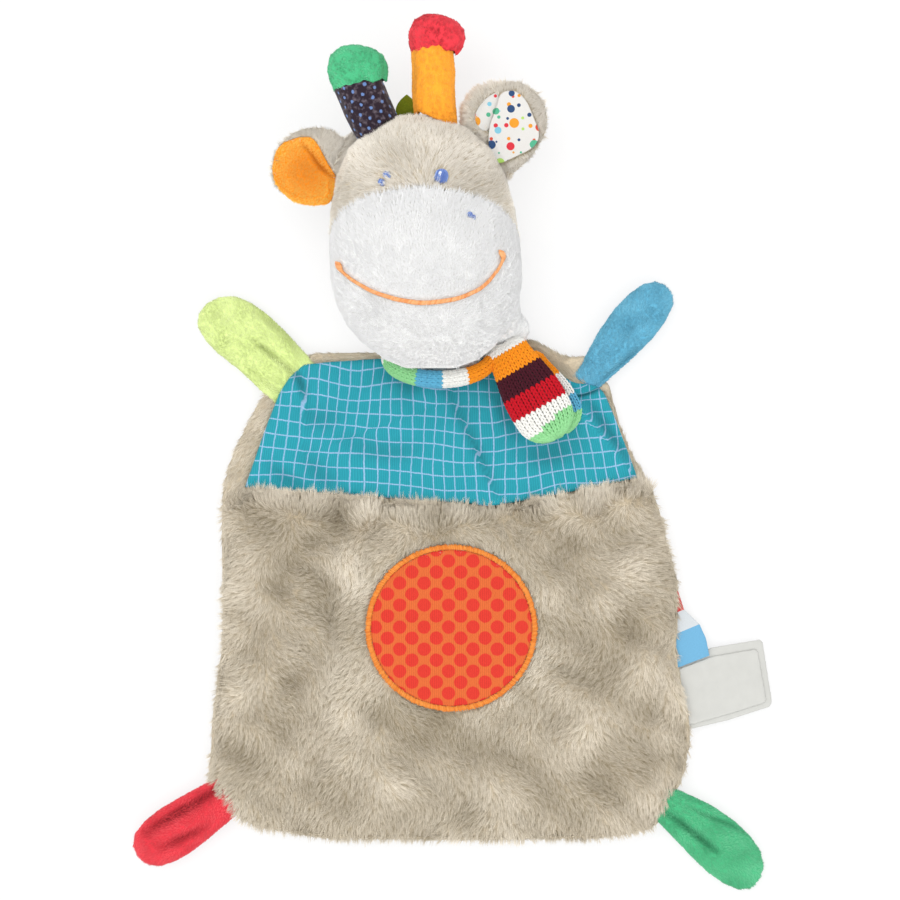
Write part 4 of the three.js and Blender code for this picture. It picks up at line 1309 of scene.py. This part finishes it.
# Stitched spots: the share that is bare of pile, the lift, the stitches' way, and bits as offset and share
SPOTS = {
    "left_eye": (0.6, 0.5, 1.0, [((0.35, 0.45), 0.6), ((-0.4, -0.45), 0.55)]),
    "right_eye": (1.05, 1.2, 1.2, [((0, 0), 1.0)]),
    "left_nostril": (0.3, -0.9, 0.2, [((0, 0), 0.6)]),
    "right_nostril": (0.9, 0.5, 0.5, [((-0.3, 0.2), 0.7), ((0.45, -0.3), 0.55)]),
}
GLINT = np.array([-0.2, 0.3])
GLINT_SHARE = 0.22
GLINT_LIFT = 0.5 * MM
GLINT_ANGLE = 0.5
DOME_HEIGHT = 0.6 * MM
STITCH_PITCH = 0.5 * MM
# The smile: a route in pixels of the camera's frame
SMILE = [
    (340, 261), (342, 269), (357, 281), (374.5, 292), (398, 300), (424.4, 304), (456.7, 299.5),
    (475.8, 291), (489, 279.5), (497.5, 266), (501, 257), (499, 251),
]
SMILE_LINE = smooth_line(on_ground(SMILE, 44 * MM), 120)
SMILE_LIFT = 1.15 * MM


def clear_of_face(centres):
    """0 on the stitched face and 1 elsewhere on the head."""
    clear = np.ones(len(centres))
    front = centres[:, 2] > HEAD_MIDDLE[2]
    for name, (bare, *_) in SPOTS.items():
        middle, half = oval(name)
        away = np.linalg.norm((centres[:, :2] - middle) / (half * bare), axis=1)
        clear *= np.where(front & (away < 1), 0, 1)
    gaps = np.min(np.linalg.norm(centres[:, None, :2] - SMILE_LINE[None, ::3], axis=2), axis=1)
    return clear * np.where(front & (gaps < 0.85 * MM), 0, 1)


def outer_skin(centres, facing):
    """1 on the outside of the head and 0 in its hollow and in the scoop for the neck."""
    outward = dot(facing, centres - HEAD_MIDDLE)[:, 0] > 0
    return outward & ~(np.linalg.norm((centres - NECK) / SCOOP, axis=1) < 1)


def make_head():
    crown = soft_copy("head_crown_cloth", "head_crown", voxel=1.1, rounds=2)
    muzzle = soft_copy("muzzle_cloth", "muzzle_cover", voxel=1.0, rounds=2)
    for skin, depth in ((crown, 1.4 * MM), (muzzle, 1.1 * MM)):
        places, normals, _ = mesh_arrays(skin)
        places -= unit(places - HEAD_MIDDLE) * (depth * outer_skin(places, normals))[:, None]
        places[:, 1] -= CROWN_DROP * ease(places[:, 1], crown_top - 20 * MM, crown_top)
        places[:, 2] = np.maximum(places[:, 2], FLOOR_GAP)
        set_places(skin, places)

    def grow(centres, facing):
        thin_below = np.where(centres[:, 2] < 8 * MM, 0.5, 1.0)
        return outer_skin(centres, facing) * clear_of_face(centres) * thin_below

    def crown_nap(places, ups):
        away = unit((places - CROWN_WHORL) * [1, 1, 0.4])
        return away + 0.5 * ripple(places, 22 * MM, 71)[:, None] * level(-away[:, 1], away[:, 0])

    def crown_tone(places):
        return 0.7 + 0.14 * ripple(places, 15 * MM, 74)

    def muzzle_nap(places, ups):
        rise = 0.5 + 0.6 * ease(places[:, 1], HEAD_MIDDLE[1] - 25 * MM, HEAD_MIDDLE[1] + 8 * MM)
        return level(0.25 * ripple(places, 17 * MM, 72), rise + 0.15 * ripple(places, 15 * MM, 73))

    def muzzle_tone(places):
        return 0.76 + 0.03 * ripple(places, 9 * MM, 75)

    def muzzle_length(places):
        return WHITE_PILE * (1 + 0.4 * ease(places[:, 1], muzzle_high.y - 16 * MM, muzzle_high.y - 4 * MM))

    dress(crown, beige_cloth, "head", "beige_plush", "head_crown", fill=0.8)
    pile(
        "head_crown_pile", crown, lit_head_strands, "head", "beige_plush", count=45000, length=3.6 * MM, lean=0.9,
        nap=crown_nap, tone=crown_tone, grow=grow, grain=0.15, seed=76,
    )
    dress(muzzle, white_cloth, "head", "white_plush", "muzzle_cover", fill=0.8)
    pile(
        "muzzle_pile", muzzle, white_strands, "head", "white_plush", count=34000, length=muzzle_length,
        lean=0.75, nap=muzzle_nap, tone=muzzle_tone, grow=grow, radius=WHITE_RADIUS, spread=0.5,
        tuft=(0.2, 5), grain=0.03, seed=77,
    )
    return height_map(crown, muzzle)


def stitched_dome(name, middle, half, angle, top, lift, rng):
    """Parallel stitches over a low dome, which fill an oval on the head."""
    place, up = top(*middle)
    scale = (half[0] * 0.9, half[1] * 0.9, DOME_HEIGHT)
    turned = up.to_track_quat("Z", "Y").to_euler()
    dome = ball(place + up * lift, segments=24, ring_count=12, radius=1, scale=scale, rotation=turned)
    point_values(dome, "tone", np.full(len(dome.data.vertices), 0.35))
    way = np.array([math.cos(angle), math.sin(angle)])
    across = np.array([-way[1], way[0]])
    starts, ends = [], []
    for offset in np.arange(-0.85, 0.86, STITCH_PITCH / half[0]):
        ragged = rng.uniform(0.86, 1.1, 2) * math.sqrt(1 - offset * offset)
        starts.append([*(middle + half * (across * offset - way * ragged[0])), 0])
        ends.append([*(middle + half * (across * offset + way * ragged[1])), 0])
    starts, ends = np.array(starts), np.array(ends)
    for points in (starts, ends):
        slope = (points[:, :2] - middle) @ np.array([up.x, up.y]) / up.z
        points[:, 2] = place.z - slope + lift
    ups = np.tile(np.array(up), (len(starts), 1))
    arch = DOME_HEIGHT * 1.15 * np.linalg.norm(ends - starts, axis=1)[:, None] / (2 * half.max())
    stitches = thread_object(name, starts, ends, ups, rng.random(len(starts)), radius=0.21 * MM, arch=arch)
    return join(stitches, dome)


def make_face(top):
    rng = np.random.default_rng(81)
    for name, (_, lift, angle, bits) in SPOTS.items():
        middle, half = oval(name)
        for index, (offset, share) in enumerate(bits):
            bit_name = f"{name}_stitches_{index + 1}"
            bit = stitched_dome(bit_name, middle + half * offset, half * share, angle, top, lift * MM, rng)
            dress(bit, blue_thread, "head", "blue_thread", *([] if index else [name]))
    middle, half = oval("right_eye")
    lift = SPOTS["right_eye"][1] * MM + GLINT_LIFT
    middle = middle + half * GLINT
    glint = stitched_dome("right_eye_glint", middle, half * GLINT_SHARE, GLINT_ANGLE, top, lift, rng)
    dress(glint, white_thread, "head", "blue_thread")
    way = unit(np.gradient(SMILE_LINE, axis=0))
    across = np.stack([-way[:, 1], way[:, 0]], 1)
    share = np.linspace(0, 1, len(SMILE_LINE))
    wedge = bump((share - 0.015) / 0.025) + bump((share - 0.985) / 0.025)
    half = (0.25 + 0.55 * np.sin(math.pi * share) + 0.9 * wedge) * MM
    stitches = []
    for place, side, lean, wide in zip(SMILE_LINE, across, way * 0.6 * MM, half):
        low, high = top(*(place - side * wide - lean)), top(*(place + side * wide + lean))
        up = (low[1] + high[1]).normalized()
        stitches.append((low[0] + up * SMILE_LIFT, high[0] + up * SMILE_LIFT, up))
    tones = rng.random(len(stitches))
    ends = (np.array(part) for part in zip(*stitches))
    smile = thread_object("smile_stitches", *ends, tones, radius=0.4 * MM, arch=0.3 * MM)
    dress(smile, orange_thread, "head", "orange_thread", "smile_stitching")


# White plush gathered under and beside the chin, as middles and half sizes
GATHERS = [
    ((15.3, 43, 11.5), (11.3, 8.5, 6.2)),
    ((16.2, 48.5, 17), (7.2, 10, 9)),
    ((-4.1, 42.5, 19.5), (19.5, 13, 12.5)),
]


def make_neck():
    gathers = [ball(middle, radius=1, scale=half) for middle, half in np.array(GATHERS) * MM]
    neck = soft_copy("neck_cloth", "neck", voxel=1.1, rounds=6, joined=gathers)
    sink(neck, depth=0.6 * MM)
    dress(neck, white_cloth, "neck", "white_plush", "neck", fill=0.6)
    pile(
        "neck_pile", neck, white_strands, "neck", "white_plush", count=12000, length=2.2 * MM, lean=0.75,
        nap=np.array([0.4, 0.9, 0.2]), tone=0.74, radius=WHITE_RADIUS, spread=0.5, tuft=(0.15, 5), grain=0.03,
        seed=91,
    )


# Ears: the linings' outlines, a crease and rolled edges in pixels of the camera's frame
EAR_HEIGHT = 25 * MM
LEFT_LINING = [
    (272.7, 155), (281, 142), (297, 136), (311, 135), (319, 144), (328, 163), (338, 177), (338, 189),
    (333, 199), (329, 206), (299, 206), (281, 194), (271, 177),
]
LEFT_CREASE = [(303, 142), (311, 152), (321, 167), (339, 180)]
LEFT_ROOT = [(352, 139), (345, 160), (339, 183), (334, 200)]
LEFT_ROOT_RADII = (2.0, 2.4, 2.2, 1.8)
RIGHT_LINING = [
    (499, 91.5), (515, 88.5), (527, 99.5), (535, 119), (541.5, 135), (535, 149), (513, 159), (497, 167),
    (487.5, 155), (487.5, 127), (496, 108),
]
RIGHT_FOLD = [
    (499, 89.5), (485, 97.5), (475, 111.5), (474, 121.5), (481, 132), (490, 131), (493, 117), (500, 106),
]
RIGHT_ROLL = [(503, 87), (482, 91), (469, 108), (470, 127), (483, 147), (496, 163), (508, 173)]
RIGHT_ROLL_RADII = (2.2, 2.8, 3.3, 3.3, 2.8, 2.2, 2.2)


def round_outline(pixels):
    """A smooth closed outline on the ground."""
    points = on_ground(pixels, EAR_HEIGHT)
    points = points.mean(0) + (points - points.mean(0)) * 0.97
    for _ in range(3):
        points = cut_corners(points, np.roll(points, -1, axis=0))
    return points


def inside(places, outline):
    """Whether places lie within an outline on the ground."""
    found = np.zeros(len(places), bool)
    for (x1, y1), (x2, y2) in zip(outline, np.roll(outline, -1, axis=0)):
        crosses = (y1 > places[:, 1]) != (y2 > places[:, 1])
        rise = y2 - y1 if y2 != y1 else 1.0
        found ^= crosses & (places[:, 0] < x1 + (places[:, 1] - y1) / rise * (x2 - x1))
    return found


def bowl(places, outline):
    """1 at the middle of an outline, falling to 0 near its edge."""
    middle = outline.mean(0)
    reach = np.linalg.norm(outline - middle, axis=1).mean()
    return 1 - ease(np.linalg.norm(places[:, :2] - middle, axis=1), 0.1 * reach, 1.05 * reach)


def make_ear(side, outlines, rolled, depth, seed, hem=False):
    """An ear's plush, hollowed under its lining. A lining that reaches the hem leaves it bare."""
    body = side + "_ear"
    axis = hinge(body + "_flap")[1]
    outer = soft_copy(body + "_cloth", body + "_outer", voxel=0.9, rounds=4, joined=rolled)
    places, normals, _ = mesh_arrays(outer)
    places -= normals * 0.6 * MM
    places[:, 2] -= depth * MM * bowl(places, outlines[0]) * ease(normals[:, 2], 0, 0.5)
    set_places(outer, places)
    middle = np.array([*outlines[0].mean(0), 0])
    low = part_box(body + "_outer")[0].y

    def nap(roots, ups):
        away = (roots - middle) * [1, 1, 0] * np.where(ups[:, 2:] < -0.2, -1, 1)
        return unit(away) + 0.4 * ripple(roots, 14 * MM, seed)[:, None] * axis + ups * [0.8, 0.8, 0]

    def tone(roots):
        return 0.66 + 0.1 * ripple(roots, 12 * MM, seed + 1)

    def grow(centres, facing):
        covered = np.any([inside(centres, outline) for outline in outlines], axis=0)
        front = np.where(facing[:, 2] < 0.3, 1.0, np.where(covered, 0.0, 1.4))
        grown = np.where(facing[:, 2] < -0.4, 0.5, front)
        return grown * ease(centres[:, 1], low + 1 * MM, low + 5 * MM) if hem else grown

    dress(outer, beige_cloth, body, "beige_plush", body + "_outer", fill=0.3)
    pile(
        body + "_pile", outer, lit_head_strands, body, "beige_plush", count=12000, length=3.2 * MM, lean=0.85,
        nap=nap, tone=tone, grow=grow, seed=seed + 2,
    )
    return height_map(outer, missing=23.5 * MM)


def make_left_ear():
    outline = round_outline(LEFT_LINING)
    route = on_ground(LEFT_CREASE, EAR_HEIGHT)
    rolled = roll(LEFT_ROOT, LEFT_ROOT_RADII, height=22.5 * MM)
    top = make_ear("left", [outline], rolled, depth=2.4, seed=101, hem=True)
    lining = laid_cloth("left_ear_lining_cloth", outline, top, thickness=0.8 * MM, lift=0.1 * MM)
    places, _, _ = mesh_arrays(lining)
    creased = groove(places, route, 0.8)
    places[:, 2] -= 0.8 * MM * creased
    set_places(lining, places)
    # Painted shade in the crease, kept in the hollow attribute.
    point_values(lining, "hollow", 0.35 * creased)
    dress(lining, velour_cloth["deep_orange"], "left_ear", "orange_velour", "left_ear_lining", fill=0.2)

    def tone(roots):
        # Painted shade: the lining's pile is darker in the middle of its cup and in the crease.
        return 0.92 - 0.4 * bowl(roots, outline) - 0.6 * groove(roots, route, 0.8)

    def grow(centres, facing):
        return facing[:, 2] > 0

    pile(
        "left_ear_lining_pile", lining, velour_strands["deep_orange"], "left_ear", "orange_velour",
        count=10000, length=1.0 * MM, lean=0.9, nap=np.array([-0.6, -0.8, 0]), tone=tone, grow=grow, seed=106,
    )


def make_right_ear():
    main = round_outline(RIGHT_LINING)
    turned = round_outline(RIGHT_FOLD)
    rolled = roll(RIGHT_ROLL, RIGHT_ROLL_RADII, height=23 * MM)
    top = make_ear("right", [main, turned], rolled, depth=1.2, seed=111)
    material = confetti_cotton()
    for name, outline, lift, nodes in (
        ("right_ear_lining_cloth", main, 1.5 * MM, ["right_ear_lining"]),
        ("right_ear_turned_cloth", turned, 0.1 * MM, []),
    ):
        lining = laid_cloth(name, outline, top, thickness=0.9 * MM, lift=lift)
        places, _, _ = mesh_arrays(lining)
        cloth_map(lining, places[:, 0], places[:, 1])
        dress(lining, material, "right_ear", "confetti_cotton", *nodes, fill=0.2)


# Horns and the leaf between them
HORN_RADIUS = 8.5 * MM
STEM_TAPER = 0.05
STEM_ROOT = 8 * MM
CAP_WIDEN = 0.07
LEAF_TUCK = 3.5 * MM
LEAF_ROOT = 3 * MM


def make_horn(side, stem_looks, stem_rise, cap_colour, cap_tone, droops, seed):
    stem_material, stem_strands, stem_slot = stem_looks
    body = side + "_horn"
    pivot, axis, way = hinge(body + "_bend")
    stem = soft_copy(body + "_stem_cover", body + "_stem", voxel=0.7, rounds=3)
    cap = soft_copy(body + "_cap_cover", body + "_cap", voxel=0.7, rounds=3)

    def on_horn(places):
        """Rise along the horn, offset across it and turn about it."""
        gap = places - pivot
        return gap @ way, gap @ axis, np.arctan2(gap @ axis, gap[:, 2])

    places, _, _ = mesh_arrays(stem)
    rise, _, _ = on_horn(places)
    places -= way * (STEM_ROOT * (1 - ease(rise, 1 * MM, 12 * MM)))[:, None]
    under_cap = ease(rise, rise.max() - 8 * MM, rise.max() - 4 * MM)[:, None]
    core = pivot + way * rise[:, None]
    places += way * stem_rise * MM * under_cap + (core - places) * STEM_TAPER * under_cap
    set_places(stem, places)
    rise, _, turn = on_horn(mesh_arrays(stem)[0])
    cloth_map(stem, turn * HORN_RADIUS, rise, period=TURN * HORN_RADIUS)
    sink(cap, depth=0.4 * MM)
    places, _, _ = mesh_arrays(cap)
    rise, across, turn = on_horn(places)
    scallop = np.sin(9 * turn) + 0.5 * np.sin(17 * turn + 1)
    sideways = across / HORN_RADIUS
    droop = 0.5 * scallop + np.interp(sideways, (-1, 0.2, 1), droops)
    places -= way * (droop * MM * (1 - ease(rise, rise.min() + 1 * MM, rise.min() + 6 * MM)))[:, None]
    places += axis * (CAP_WIDEN * HORN_RADIUS * sideways)[:, None]
    set_places(cap, places)

    def nap(roots, ups):
        return way + 0.6 * ripple(roots, 9 * MM, seed)[:, None] * axis

    def tone(roots):
        return cap_tone + 0.15 * ripple(roots, 7 * MM, seed + 1)

    def stem_tone(roots):
        # Painted shade: the stem's pile is darker at its root by the head.
        return 0.3 + 0.4 * ease(on_horn(roots)[0], 1 * MM, 7 * MM)

    cap_slot = cap_colour + "_velour"
    dress(stem, stem_material, body, stem_slot, body + "_stem", fill=0.7)
    dress(cap, velour_cloth[cap_colour], body, cap_slot, body + "_cap", fill=0.8)
    pile(
        body + "_cap_pile", cap, velour_strands[cap_colour], body, cap_slot, count=9000, length=VELOUR_PILE,
        lean=0.9, nap=nap, tone=tone, seed=seed + 2,
    )
    if stem_strands:
        pile(
            body + "_stem_pile", stem, stem_strands, body, stem_slot, count=9000, length=1.0 * MM, lean=0.9,
            nap=-way, tone=stem_tone, seed=seed + 4,
        )


def make_leaf():
    leaf = soft_copy("mane_leaf_felt", "mane_leaf", voxel=0.4, rounds=2)
    places, _, _ = mesh_arrays(leaf)
    root = places[:, 1].min()
    places[:, 1] -= LEAF_TUCK * (1 - ease(places[:, 1], root, root + LEAF_ROOT))
    set_places(leaf, places)
    dress(leaf, mottled("olive_felt", "76861C"), "mane_leaf", "olive_felt", "mane_leaf", fill=0.1)


# Side tabs: outlines in pixels of the camera's frame
LABEL_LOWER = [
    (670, 668), (711, 647.5), (760, 639.5), (763, 642), (772.5, 702), (770, 707), (728, 720.5),
    (694, 728.5), (672, 731),
]
LABEL_UPPER = [
    (670, 672), (711, 656.5), (755, 649), (758, 651), (766.5, 699), (764.5, 703), (728, 714.5),
    (694, 724), (672, 727),
]
LABEL_HEIGHT = 3 * MM
LABEL_DROOP = 0.8 * MM
RIBBON = [
    (664, 586), (678, 590), (684, 609), (699.5, 624), (706, 638), (709.6, 655.7), (680, 667), (666, 671),
]
RIBBON_HEIGHT = 4 * MM
RIBBON_ENDS = [(677.3, 590), (677.3, 680)]
RIBBON_SLOPE = 0.418
TAB_PLY = 0.55 * MM
TAB_WAVE = 0.25 * MM
TAB_BEND = np.array([2 * MM, 0, 0])


def outline_area(outline):
    after = np.roll(outline, -1, axis=0)
    return abs((outline[:, 0] * after[:, 1] - outline[:, 1] * after[:, 0]).sum()) / 2


def tab_top(height, droop, phase=0):
    """A function that gives a tab's height, which droops away from the seam in a slight wave."""
    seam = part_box("care_label")[0].x
    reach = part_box("care_label")[1].x - seam

    def top(x, y):
        share = max(x - seam, 0) / reach
        wave = TAB_WAVE * share * math.sin(y / (5 * MM) + phase)
        return Vector((x, y, height - droop * share + wave)), Vector(UP)

    return top


def sew_in(tab, material, name, slot):
    """Dresses a tab, passing two points about its seam with the blanket as its bend."""
    pivot = hinge(name + "_flap")[0]
    dress(tab, material, name, slot, name, bend=(pivot - TAB_BEND, pivot + TAB_BEND))


def make_tabs():
    lower = on_ground(LABEL_LOWER, LABEL_HEIGHT)
    upper = on_ground(LABEL_UPPER, LABEL_HEIGHT)
    label = join(
        laid_cloth("care_label_tape", lower, tab_top(2.6 * MM, LABEL_DROOP), TAB_PLY, voxel=0.55),
        laid_cloth("care_label_fold", upper, tab_top(3.15 * MM, LABEL_DROOP), TAB_PLY, voxel=0.55),
    )
    sew_in(label, satin_tape("white_satin_tape", "C0C0BB"), "care_label", "white_satin")
    area = outline_area(lower) + outline_area(upper)
    outline = on_ground(RIBBON, RIBBON_HEIGHT)
    top = tab_top(RIBBON_HEIGHT, droop=0.3 * MM, phase=1)
    ribbon = laid_cloth("ribbon_tab_tape", outline, top, TAB_PLY)
    places, _, _ = mesh_arrays(ribbon)
    first, last = on_ground(RIBBON_ENDS, RIBBON_HEIGHT)
    along = (first[1] - places[:, 1] + RIBBON_SLOPE * (places[:, 0] - first[0])) / (first[1] - last[1])
    cloth_map(ribbon, places[:, 0], along)
    sew_in(ribbon, banded_ribbon(), "ribbon_tab", "striped_ribbon")
    outline_area(outline)


# Filling inside the head and horns
def make_fillings():
    for body in ("head", "left_horn", "right_horn"):
        source = body + "_stuffing"
        wool = soft_copy(source + "_wool", source, voxel=1.6, rounds=3)
        sink(wool, depth=1.3 * MM)
        dress(wool, wool_fibre, body, "polyester_fibre", source, fill=0.6)


# Floor, lights as a name, place and power, and camera
FLOOR_GLOW = 0.72
SKY_STRENGTH = 0.96
LIGHTS = [("key", (-0.35, 0.3, 1.0), 4.4), ("fill", (0.3, -0.6, 0.8), 3.0)]
LIGHT_SIZE = 0.9


def make_stage():
    scene = bpy.context.scene
    bpy.ops.mesh.primitive_plane_add(size=6, location=(0, 0, -0.05 * MM))
    floor = bpy.context.active_object
    floor.name = "floor"
    material = bpy.data.materials.new("pale_floor")
    material.use_nodes = True
    tree = material.node_tree
    tree.nodes.clear()
    rays = node(tree, "LightPath").outputs
    seen = Value(rays["Is Camera Ray"])
    for ray in ("Is Glossy Ray", "Is Transmission Ray"):
        seen = seen.sums("MAXIMUM", Value(rays[ray]))
    matt = output(tree, "BsdfDiffuse", 0, {"Color": (0.9, 0.9, 0.9, 1)})
    glow = output(tree, "Emission", 0, {"Color": (1, 1, 1, 1), "Strength": 1.0})
    both = output(tree, "MixShader", 0, {0: seen * FLOOR_GLOW, 1: matt, 2: glow})
    node(tree, "OutputMaterial", {0: both})
    floor.data.materials.append(material)
    scene.world = bpy.data.worlds.new("studio")
    scene.world.use_nodes = True
    sky = scene.world.node_tree.nodes["Background"].inputs
    sky["Color"].default_value = (1, 1, 1, 1)
    sky["Strength"].default_value = SKY_STRENGTH
    for name, place, power in LIGHTS:
        light = link(name, bpy.data.lights.new(name, "AREA"))
        light.data.size = LIGHT_SIZE
        light.data.energy = power
        light.location = place
        light.rotation_euler = (-Vector(place)).to_track_quat("-Z", "Y").to_euler()
    camera = link("camera", bpy.data.cameras.new("camera"))
    camera.data.sensor_width = SENSOR_WIDTH
    camera.data.lens = SENSOR_WIDTH * CAMERA_PLACE[2] / FRAME_WIDTH
    camera.location = CAMERA_PLACE
    bpy.context.scene.camera = camera
    scene.view_settings.view_transform = "Standard"


make_stage()
make_back_panel(make_front_panel(), make_yoke())
make_patch()
for index, (limb, (colour, narrow, creases)) in enumerate(LIMBS.items()):
    make_limb(limb, colour, narrow, creases, 121 + 10 * index)
make_neck()
make_neckband()
make_tail("rear", "rear_tail_swing", REAR_BANDS, overlap=0.0, shift=-0.4 * MM, seed=61)
make_tail("front", "front_tail_lift", FRONT_BANDS, overlap=7 * MM, shift=-0.7 * MM, seed=62)
make_face(make_head())
make_left_ear()
make_right_ear()
dark = (dark_print(), None, "dark_print")
make_horn("left", dark, stem_rise=1.0, cap_colour="green", cap_tone=0.55, droops=(2.8, 0.4, 1.0), seed=171)
orange = (velour_cloth["orange"], velour_strands["orange"], "orange_velour")
make_horn("right", orange, stem_rise=5.0, cap_colour="red", cap_tone=0.34, droops=(4.9, -1.6, -0.4), seed=181)
make_leaf()
make_tabs()
make_fillings()
